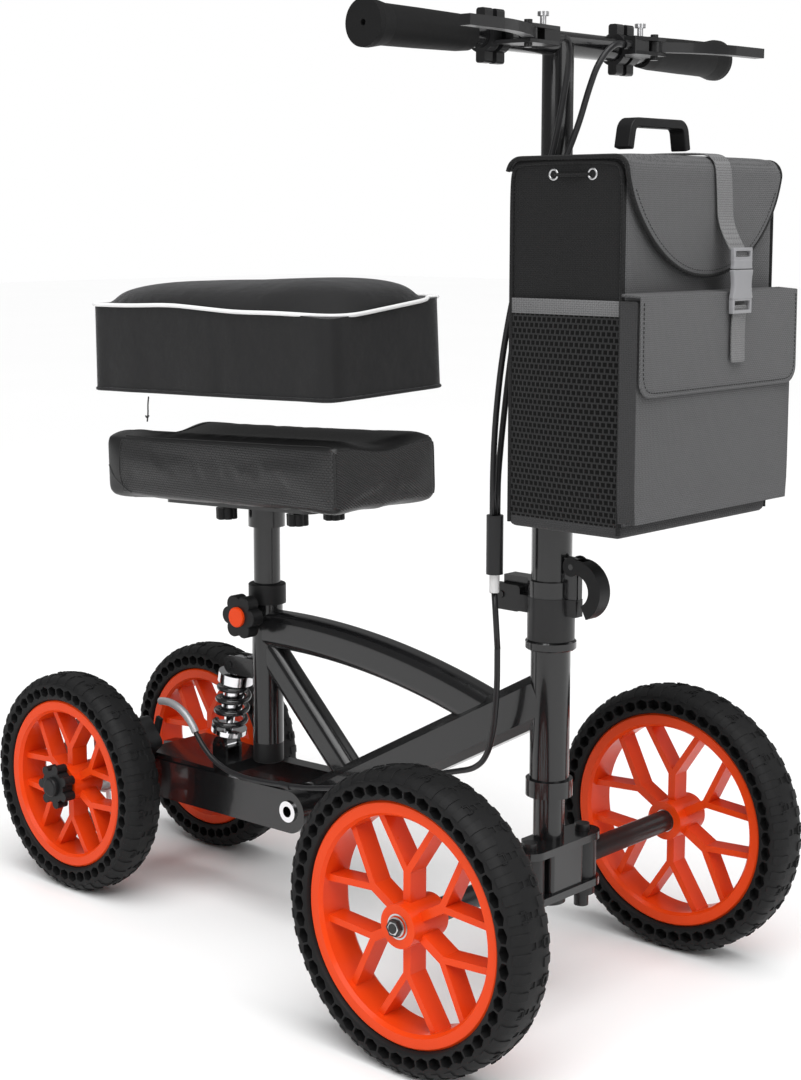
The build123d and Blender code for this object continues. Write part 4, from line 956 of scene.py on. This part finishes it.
# ------------------------------------------------------------------ bag
@dataclass
class FrontBag:
    """The bag on the stem: soft shell, netting, pocket, lid, strap and buckle."""

    half: float = 0.127
    back: float = -0.331
    front: float = -0.464
    low: float = 0.535
    top: float = 0.885
    band_low: float = 0.7415
    band_high: float = 0.756
    pocket_half: float = 0.133
    pocket_front: float = -0.4870
    pocket_low: float = 0.551
    pocket_top: float = 0.756
    pocket_flap_low: float = 0.668
    lid: float = 0.8885
    drop_low: float = 0.775
    strap_x: float = 0.020
    strap_half: float = 0.013
    corner: float = 0.013

    def build(self) -> None:
        """Models every piece of the bag."""
        self.shell()
        self.base_trim()
        for word, side in (("right", -1.0), ("left", 1.0)):
            self.side_trim(word, side)
        self.pocket()
        self.pocket_flap()
        self.lid_sheet()
        self.strap()
        self.buckle()

    def slack(self, p: Vector) -> Vector:
        """Lets the walls draw in a little between the sewn edges."""
        along = (p.y - self.front) / (self.back - self.front)
        up = (p.z - self.low) / (self.top - self.low)
        dip = math.sin(math.pi * min(1.0, max(0.0, along))) * math.sin(math.pi * min(1.0, max(0.0, up)))
        wrinkle = math.sin(p.z * 61.0 + p.y * 37.0) * 0.0007
        if abs(p.x) > self.half - 0.008:
            p.x -= math.copysign(0.0032 * dip + wrinkle * dip, p.x)
        elif p.y < self.front + 0.006:
            p.y += 0.0012 * math.sin(math.pi * up) * math.cos(p.x * 12.0)
        round_off = self.corner
        for wall, inward in ((self.back, -1.0), (self.front, 1.0)):
            centre = wall + inward * round_off
            aside, above = (p.y - centre) * -inward, p.z - (self.top - round_off)
            reach = math.hypot(aside, above)
            if aside > 0 and above > 0 and reach > round_off:
                p.y = centre - inward * aside * round_off / reach
                p.z = self.top - round_off + above * round_off / reach
        return p

    def shell(self) -> None:
        """Models the open-topped body."""
        shell = Bench.block("bag_shell", (-self.half, self.front, self.low), (self.half, self.back, self.top))
        Bench.begin(shell)
        Bench.pick(shell, Part.FACE, lambda f: f.normal.z > 0.9)
        bpy.ops.mesh.delete(type="FACE")
        Bench.pick(shell, Part.EDGE, lambda e: not e.is_boundary)
        bpy.ops.mesh.bevel(offset=0.007, segments=3)
        bpy.ops.mesh.select_all(action="SELECT")
        for level in (*(self.low + 0.029 * cut for cut in range(1, 12)), self.top - 0.0125, self.top - 0.009,
                      self.top - 0.0055, self.top - 0.0025):
            bpy.ops.mesh.select_all(action="SELECT")
            bpy.ops.mesh.bisect(plane_co=(0, 0, level), plane_no=(0, 0, 1))
        for inset in (0.0025, 0.0055, 0.009, 0.0125, 0.033, 0.055, 0.066):
            for wall in (self.front + inset, self.back - inset):
                bpy.ops.mesh.select_all(action="SELECT")
                bpy.ops.mesh.bisect(plane_co=(0, wall, 0), plane_no=(0, 1, 0))
        for cut in range(-4, 5):
            bpy.ops.mesh.select_all(action="SELECT")
            bpy.ops.mesh.bisect(plane_co=(0.026 * cut, 0, 0), plane_no=(1, 0, 0))
        Bench.end()
        Bench.shape(shell, self.slack)
        Bench.apply(shell, "SOLIDIFY", thickness=0.0028, offset=-1.0)
        Bench.smooth(shell, 50.0)
        shell.data.materials.append(Finishes.get("bag_fabric"))
        shell.data.materials.append(Finishes.get("bag_side"))
        for face in shell.data.polygons:
            face.material_index = int(abs(face.normal.x) > 0.7 or face.normal.y > 0.7)
        Bench.mount(shell, "stem", "bag_side", "bag_body")

    def base_trim(self) -> None:
        """Models the dark band round the foot of the bag."""
        e = 0.0006
        trim = Bench.block("bag_base_trim", (-self.half - e, self.front - e, self.low - 0.0004),
                           (self.half + e, self.back + e, self.low + 0.011))
        Bench.begin(trim)
        Bench.pick(trim, Part.EDGE, lambda edge: edge.verts[0].co.z < self.low + 0.005
                   or edge.verts[1].co.z < self.low + 0.005)
        bpy.ops.mesh.bevel(offset=0.007, segments=3)
        Bench.pick(trim, Part.FACE, lambda f: f.normal.z > 0.9)
        bpy.ops.mesh.delete(type="FACE")
        Bench.end()
        Bench.apply(trim, "SOLIDIFY", thickness=0.0010, offset=-1.0)
        Bench.smooth(trim, 50.0)
        Bench.mount(trim, "stem", "trim_cloth")

    def side_trim(self, word: str, side: float) -> None:
        """Models one side's edge cord, webbing band, netting, eyelets and elastic.

        Args:
            word: the side's name.
            side: -1 on the rider's right, 1 on the left.
        """
        x = side * self.half
        edge = [(x, self.back - 0.002, self.low + 0.004), (x, self.back - 0.002, 0.60), (x, self.back - 0.002, 0.70),
                (x, self.back - 0.002, 0.80), (x, self.back - 0.002, self.top - 0.020),
                (x, self.back - 0.005, self.top - 0.007), (x, self.back - 0.013, self.top - 0.003),
                (x, self.back - 0.050, self.top - 0.002), (x, self.front + 0.050, self.top - 0.002),
                (x, self.front + 0.013, self.top - 0.003), (x, self.front + 0.005, self.top - 0.007),
                (x, self.front + 0.002, self.top - 0.020), (x, self.front + 0.002, 0.80), (x, self.front + 0.002, 0.70),
                (x, self.front + 0.002, 0.60), (x, self.front + 0.002, self.low + 0.004)]
        Bench.mount(Bench.tube(f"bag_edge_cord_{word}", edge, 0.0021), "stem", "bag_side")
        inner = x - side * 0.0035
        band = Bench.block(f"bag_side_band_{word}", (min(inner, x + side * 0.0012), self.front + 0.0035, self.band_low),
                           (max(inner, x + side * 0.0012), self.back - 0.0035, self.band_high))
        Bench.soften(band, 0.0005)
        Bench.mount(band, "stem", "webbing")

        def net(u: float, v: float) -> Point:
            belly = (1 - u * u) * (1 - v * v) * 0.0035
            return (x + side * (0.0002 + belly), (self.back + self.front) / 2 + u * 0.0625,
                    (self.low + 0.011 + self.band_low) / 2 + v * (self.band_low - self.low - 0.011) / 2)

        netting = Bench.cloth(f"bag_side_netting_{word}", 14, 20, net)
        Bench.apply(netting, "SOLIDIFY", thickness=0.0007, offset=0.0)
        Bench.smooth(netting, 60.0)
        Bench.mount(netting, "stem", "bag_mesh")
        wall = x - side * 0.0005
        for number, y in enumerate((-0.382, -0.427)):
            Bench.only()
            bpy.ops.mesh.primitive_torus_add(major_radius=0.0047, minor_radius=0.0012, major_segments=40,
                                             minor_segments=10, location=(wall, y, 0.8715), rotation=(0, math.pi / 2, 0))
            eyelet = Bench.name(f"bag_eyelet_{word}_{number}")
            Bench.smooth(eyelet, 180.0)
            Bench.mount(eyelet, "stem", "bright_steel")
        lace = [(wall - side * 0.002, -0.382, 0.8715), (wall + side * 0.001, -0.385, 0.8712),
                (wall + side * 0.0025, -0.395, 0.8708), (wall + side * 0.003, -0.4045, 0.8706),
                (wall + side * 0.0025, -0.414, 0.8708), (wall + side * 0.001, -0.424, 0.8713),
                (wall - side * 0.002, -0.427, 0.8715)]
        Bench.mount(Bench.tube(f"bag_elastic_{word}", lace, 0.0016), "stem", "bag_side")

    def pocket(self) -> None:
        """Models the flat front pocket."""
        pocket = Bench.block("bag_front_pocket", (-self.pocket_half, self.pocket_front, self.pocket_low),
                             (self.pocket_half, self.front - 0.0005, self.pocket_top))
        Bench.begin(pocket)
        bpy.ops.mesh.select_all(action="SELECT")
        bpy.ops.mesh.subdivide(number_cuts=9)
        Bench.end()

        def crown(p: Vector) -> Vector:
            u, v = p.x / self.pocket_half, (p.z - self.pocket_low) / (self.pocket_top - self.pocket_low) * 2 - 1
            if p.y < self.pocket_front + 0.001:
                p.y += 0.0032 * max(abs(u) ** 6, abs(min(v, 0.0)) ** 6)
            p.x -= math.copysign(0.002 * max(0.0, -v) ** 8, p.x)
            return p

        Bench.shape(pocket, crown)
        Bench.soften(pocket, 0.0028, 3, 50.0)
        pocket.data.materials.append(Finishes.get("bag_fabric"))
        pocket.data.materials.append(Finishes.get("trim_cloth"))
        for face in pocket.data.polygons:
            face.material_index = int(abs(face.normal.x) > 0.7 or face.normal.z < -0.7)
        Bench.mount(pocket, "stem", "bag_fabric", "bag_pocket")

    def pocket_flap(self) -> None:
        """Models the pocket's flap with its round lower corners and stitching."""
        half, y = 0.135, -0.4889
        Bench.only()
        bpy.ops.mesh.primitive_plane_add(size=1.0, location=(0, y, (self.pocket_flap_low + 0.7605) / 2),
                                         rotation=(math.pi / 2, 0, 0))
        bpy.context.object.scale = (2 * half, 0.7605 - self.pocket_flap_low, 1.0)
        flap = Bench.name("bag_pocket_flap")
        Bench.begin(flap)
        Bench.pick(flap, Part.VERT, lambda v: v.co.z < 0.7)
        bpy.ops.mesh.bevel(offset=0.017, segments=7, affect="VERTICES")
        Bench.pick(flap, Part.EDGE, lambda e: all(v.co.z > 0.76 for v in e.verts))
        bpy.ops.mesh.extrude_region_move(TRANSFORM_OT_translate={"value": (0, 0.0215, 0.0012)})
        Bench.end()
        Bench.tidy(flap)
        Bench.apply(flap, "SOLIDIFY", thickness=0.0026, offset=0.0)
        Bench.soften(flap, 0.0010, 3, 40.0)
        Bench.mount(flap, "stem", "flap_cloth")
        line = [(-half + 0.004, 0.755), (-half + 0.004, 0.72), (-half + 0.004, 0.70), (-half + 0.0045, 0.684),
                (-half + 0.010, 0.6745), (-half + 0.021, 0.672), (-0.08, 0.672), (0.0, 0.672), (0.08, 0.672),
                (half - 0.021, 0.672), (half - 0.010, 0.6745), (half - 0.0045, 0.684), (half - 0.004, 0.70),
                (half - 0.004, 0.72), (half - 0.004, 0.755)]
        seam = Bench.stitches("bag_pocket_flap_stitches", [(x, y - 0.0014, z) for x, z in line])
        Bench.mount(seam, "stem", "bag_side")

    def lid_sheet(self) -> None:
        """Models the lid that folds over the top and hangs down in front as a half oval."""
        half, bend, front = 0.130, 0.0135, -0.4690
        back, rise = -0.3300, 0.0
        flat = back - front - 2 * bend
        turn = bend * math.pi / 2

        def hang(u: float) -> float:
            return 0.094 * max(0.0, 1.0 - abs(u) ** 2.15) ** 0.72 + 0.004

        def lay(u: float, v: float) -> Point:
            x = u * half
            s = (v + 1) / 2 * (rise + 2 * turn + flat + hang(u))
            edge = 0.0015 * abs(u) ** 8
            if s <= rise:
                return x, back, self.lid - bend - rise + s
            if s <= rise + turn:
                a = (s - rise) / bend
                return x, back - bend + bend * math.cos(a), self.lid - bend + bend * math.sin(a) - edge
            if s <= rise + turn + flat:
                share = (s - rise - turn) / flat
                swell = 0.0014 * math.sin(math.pi * (u + 1) / 2) * math.sin(math.pi * share)
                return x, back - bend - flat * share, self.lid + swell - edge
            if s <= rise + 2 * turn + flat:
                a = (s - rise - turn - flat) / bend
                return x, front + bend - bend * math.sin(a), self.lid - bend + bend * math.cos(a) - edge
            down = s - rise - 2 * turn - flat
            belly = 0.0018 * math.sin(math.pi * min(1.0, down / 0.1)) * (1 - u * u)
            return x, front - belly, self.lid - bend - down

        lid = Bench.cloth("bag_lid", 56, 44, lay)
        bottom = [Vector(lay(-1 + i / 20, 1.0)) for i in range(41)]
        right = [Vector(lay(-1.0, -1 + i / 14)) for i in range(28)]
        left = [Vector(lay(1.0, 1 - i / 14)) for i in range(1, 29)]
        Bench.tidy(lid)
        Bench.apply(lid, "SOLIDIFY", thickness=0.003, offset=0.0)
        Bench.soften(lid, 0.0008, 2, 60.0)
        Bench.mount(lid, "bag_flap", "flap_cloth", "bag_flap")
        Bench.mount(Bench.tube("bag_lid_binding", [*right, *bottom, *left], 0.0022), "bag_flap", "bag_side")
        inset = [Vector((p.x * 0.965, p.y - 0.0016, p.z + 0.0045)) for p in bottom[1:-1]]
        Bench.mount(Bench.stitches("bag_lid_stitches", inset), "bag_flap", "bag_side")

    def ribbon(self, name: str, line: Sequence[tuple[float, float]], half: float, thickness: float) -> bpy.types.Object:
        """A flat strap that follows (y, z) points."""
        rows = len(line) - 1

        def lay(u: float, v: float) -> Point:
            place = (v + 1) / 2 * rows
            k = min(rows - 1, int(place))
            share = place - k
            y = line[k][0] * (1 - share) + line[k + 1][0] * share
            z = line[k][1] * (1 - share) + line[k + 1][1] * share
            return self.strap_x + u * half, y, z

        strap = Bench.cloth(name, 6, rows, lay)
        Bench.apply(strap, "SUBSURF", levels=1)
        Bench.apply(strap, "SOLIDIFY", thickness=thickness, offset=0.0)
        Bench.soften(strap, thickness * 0.25, 1, 50.0)
        return strap

    def strap(self) -> None:
        """Models the webbing that holds the lid down, and its tail below the buckle."""
        z, y = self.lid + 0.0036, -0.4738
        line = [(-0.350, z - 0.0005), (-0.370, z), (-0.395, z + 0.0006), (-0.420, z + 0.0008), (-0.440, z + 0.0006),
                (-0.456, z), (-0.463, z - 0.0012), (-0.4685, z - 0.0045), (-0.4722, z - 0.0095), (y, z - 0.018),
                (y - 0.0010, 0.860), (y - 0.0020, 0.845), (y - 0.0025, 0.832), (-0.4795, 0.822), (-0.4840, 0.813),
                (-0.4885, 0.806), (-0.4925, 0.7995), (-0.4950, 0.7945)]
        strap = self.ribbon("bag_webbing", line, self.strap_half, 0.0018)
        Bench.mount(strap, "bag_flap", "strap_webbing", "bag_strap")
        tail = [(-0.4952, 0.749), (-0.4948, 0.744), (-0.4938, 0.736), (-0.4935, 0.725), (-0.4935, 0.712),
                (-0.4938, 0.700), (-0.4942, 0.694)]
        Bench.mount(self.ribbon("bag_webbing_tail", tail, self.strap_half * 0.9, 0.0018), "stem", "strap_webbing")

    def buckle(self) -> None:
        """Models the side-release buckle: the tongue on the strap and the socket on its tail."""
        x, back, face = self.strap_x, -0.4932, -0.4988
        socket = Bench.block("bag_buckle_socket", (x - 0.0175, face, 0.755), (x + 0.0175, back, 0.7825))
        self.waist(socket, 0.755, 0.7825, 0.0026)
        Bench.mount(socket, "stem", "buckle_plastic", "buckle_socket")
        self.bar_frame("bag_buckle_bar", "stem", (x - 0.0165, face + 0.0006, 0.741), (x + 0.0165, back, 0.7562))
        tongue = Bench.block("bag_buckle_tongue", (x - 0.0165, face + 0.0004, 0.7832), (x + 0.0165, back, 0.7925))
        self.waist(tongue, 0.7832, 0.7925, 0.0009)
        Bench.mount(tongue, "bag_flap", "buckle_plastic")
        self.bar_frame("bag_buckle_ladder", "bag_flap", (x - 0.0160, face + 0.0008, 0.7915), (x + 0.0160, back, 0.8035))

    @staticmethod
    def waist(obj: bpy.types.Object, low: float, high: float, depth: float) -> None:
        """Draws a buckle half in at its middle and rounds it."""
        Bench.begin(obj)
        for share in (0.25, 0.5, 0.75):
            bpy.ops.mesh.select_all(action="SELECT")
            bpy.ops.mesh.bisect(plane_co=(0, 0, low + (high - low) * share), plane_no=(0, 0, 1))
        Bench.end()
        middle = sum(v.co.x for v in obj.data.vertices) / len(obj.data.vertices)
        Bench.shape(obj, lambda p: Vector((p.x - math.copysign(
            depth * math.sin(math.pi * (p.z - low) / (high - low)), p.x - middle), p.y, p.z)))
        Bench.soften(obj, 0.0012, 3, 45.0)

    @staticmethod
    def bar_frame(name: str, body: str, low: Point, high: Point) -> None:
        """A four-sided frame that the webbing passes through."""
        obj = Bench.block(name, low, high)
        Bench.begin(obj)
        Bench.pick(obj, Part.FACE, lambda f: abs(f.normal.y) > 0.9)
        bpy.ops.mesh.inset(thickness=0.0032, use_individual=True)
        bpy.ops.mesh.bridge_edge_loops()
        Bench.end()
        Bench.tidy(obj)
        Bench.soften(obj, 0.0007, 2, 45.0)
        Bench.mount(obj, body, "buckle_plastic")


# ------------------------------------------------------------------ springs and cables
class MovingLines:
    """The spring and the brake cables, with the cable splitter's ferrule and the pivot sleeve."""

    @staticmethod
    def build() -> None:
        """Copies the spring onto the shock body and the cables in place of their CAD nodes, and adds the splitter
        ferrule and the pivot sleeve.
        """
        spring = Bench.copy("shock_coil", "coil_spring")
        spring.data.materials.clear()
        Bench.mount(spring, "shock_body", "spring_black", "coil_spring")
        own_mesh(spring)
        for side in ("right", "left"):
            MovingLines.bend(f"handlebar_cable_{side}", f"brake_cable_{side}", "stem", "handlebar", 0.535, 0.985)
        line = [(-0.045, -0.248, z) for z in (0.4455, 0.4500, 0.4600, 0.4645)]
        Bench.mount(Bench.tube("cable_splitter_ferrule", line, 0.0053), "stem", "white_plastic")
        sleeve = Bench.tube("cable_pivot_sleeve", [(-0.059, y, 0.180) for y in (0.043, 0.047, 0.055, 0.060)], 0.0041)
        sleeve.data.materials.append(Finishes.get("cable_sheath"))
        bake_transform(sleeve)
        MovingLines.bend("steering_cable", "cable_riser", "frame", "steering", 0.39, 0.44)

    @staticmethod
    def bend(name: str, node: str, low_body: str, high_body: str, low: float, high: float) -> None:
        """Copies a cable node with the cable finish and shows it in place of that node."""
        cable = Bench.copy(name, node)
        cable.data.materials.clear()
        cable.data.materials.append(Finishes.get("cable_sheath"))
        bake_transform(cable)
        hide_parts(node)
        LOG.info("%s bends from %s to %s", name, low_body, high_body)


# ------------------------------------------------------------------ CAD nodes and studio
class Dresser:
    """Gives every CAD node that stays in view its finish."""

    @staticmethod
    def build() -> None:
        """Dresses the nodes by the record's slots."""
        slots = {row["node"]: row["material_slot"] for row in frame["record"]["subparts"]}
        for name, node in frame["nodes"].items():
            node.data.materials.clear()
            node.data.materials.append(Finishes.get(slots[name]))
            LOG.info("%s is dressed in %s", name, slots[name])


@dataclass
class Studio:
    """The pale floor, the soft lights and the camera."""

    camera: Point = (-1.5691, -1.4956, 0.8291)
    azimuth: float = math.radians(-47.3)
    elevation: float = math.radians(8.07)
    lens: float = 64.01
    shift: tuple[float, float] = (0.0168, -0.0438)

    def build(self) -> None:
        """Sets up everything round the scooter."""
        self.floor()
        self.lights()
        self.view()

    def floor(self) -> None:
        """Lays the plain floor."""
        Bench.only()
        bpy.ops.mesh.primitive_plane_add(size=40.0)
        floor = Bench.name("studio_floor")
        r = Recipe("pale_floor")
        r.feed("Base Color", r.between(r.noise(0.8, 2.0), (0.93, 0.93, 0.93), (0.95, 0.95, 0.95)))
        r.feed("Roughness", 0.6)
        floor.data.materials.append(r.material)

    @staticmethod
    def lights() -> None:
        """Hangs the large soft lights and fills the room with even light."""
        for name, place, size, power in (
            ("left_strip", (-2.6, -0.6, 1.7), 1.3, 15.0),
            ("front_strip", (-0.3, -3.1, 1.5), 1.4, 12.0),
            ("right_strip", (2.7, -1.6, 2.0), 1.8, 9.0),
            ("back_strip", (0.6, 3.2, 2.4), 2.2, 9.0),
        ):
            Bench.only()
            bpy.ops.object.light_add(type="AREA", location=place)
            light = bpy.context.object
            light.name = f"{name}_light"
            light.data.size = size
            light.data.energy = power
            light.rotation_mode = "QUATERNION"
            light.rotation_quaternion = (Vector(place) - Vector((0.0, 0.0, 0.5))).to_track_quat("Z", "Y")
        Bench.only()
        bpy.ops.object.light_add(type="SUN", location=(0.0, 0.0, 4.0))
        ceiling = bpy.context.object
        ceiling.name = "ceiling_light"
        ceiling.data.energy = 3.4
        ceiling.data.angle = math.radians(62.0)
        ceiling.rotation_mode = "QUATERNION"
        ceiling.rotation_quaternion = Vector((-0.30, -0.38, 1.0)).to_track_quat("Z", "Y")
        Studio.room()

    @staticmethod
    def room() -> None:
        """Makes the room white to look at and dim to be lit by, so that black paint stays black."""
        world = bpy.data.worlds.new("studio")
        world.use_nodes = True
        tree = world.node_tree
        dim = tree.nodes["Background"]
        dim.inputs["Color"].default_value = (1.0, 1.0, 1.0, 1.0)
        dim.inputs["Strength"].default_value = 0.20
        bright = tree.nodes.new("ShaderNodeBackground")
        bright.inputs["Color"].default_value = (1.0, 1.0, 1.0, 1.0)
        bright.inputs["Strength"].default_value = 1.0
        path, mix = tree.nodes.new("ShaderNodeLightPath"), tree.nodes.new("ShaderNodeMixShader")
        tree.links.new(path.outputs["Is Camera Ray"], mix.inputs[0])
        tree.links.new(dim.outputs[0], mix.inputs[1])
        tree.links.new(bright.outputs[0], mix.inputs[2])
        tree.links.new(mix.outputs[0], tree.nodes["World Output"].inputs["Surface"])
        bpy.context.scene.world = world
        bpy.context.scene.view_settings.view_transform = "Standard"

    def view(self) -> None:
        """Sets the camera."""
        Bench.only()
        bpy.ops.object.camera_add(location=self.camera)
        camera = bpy.context.object
        back = Vector((math.sin(self.azimuth) * math.cos(self.elevation),
                       -math.cos(self.azimuth) * math.cos(self.elevation), math.sin(self.elevation)))
        camera.rotation_mode = "QUATERNION"
        camera.rotation_quaternion = back.to_track_quat("Z", "Y")
        camera.data.lens = self.lens
        camera.data.sensor_width = 36.0
        camera.data.shift_x, camera.data.shift_y = self.shift
        camera.data.clip_end = 60.0
        bpy.context.scene.camera = camera


def main() -> None:
    """Builds the scooter's looks, sub-assembly by sub-assembly."""
    logging.basicConfig(level=logging.INFO, format="%(message)s")
    Dresser.build()
    for word, side in (("right", -1.0), ("left", 1.0)):
        front, rear = (side * 0.22575, -0.299, 0.1525), (side * 0.1165, 0.363, 0.136)
        HoneycombTyre(f"front_{word}_tyre", f"front_wheel_{word}", front, 0.1525, 0.12275, 0.027, 50).build()
        HoneycombTyre(f"rear_{word}_tyre", f"rear_wheel_{word}", rear, 0.136, 0.1045, 0.025, 46).build()
        HubTrim(f"front_{word}", f"front_wheel_{word}", front, 0.025, 0.005, f"knuckle_{word}").build()
        HubTrim(f"rear_{word}", f"rear_wheel_{word}", rear, 0.022, 0.006).build()
    rest = KneeRest()
    rest.build_pad()
    rest.build_cover()
    FrontBag().build()
    MovingLines.build()
    Studio().build()


if __name__ == "__main__":
    main()
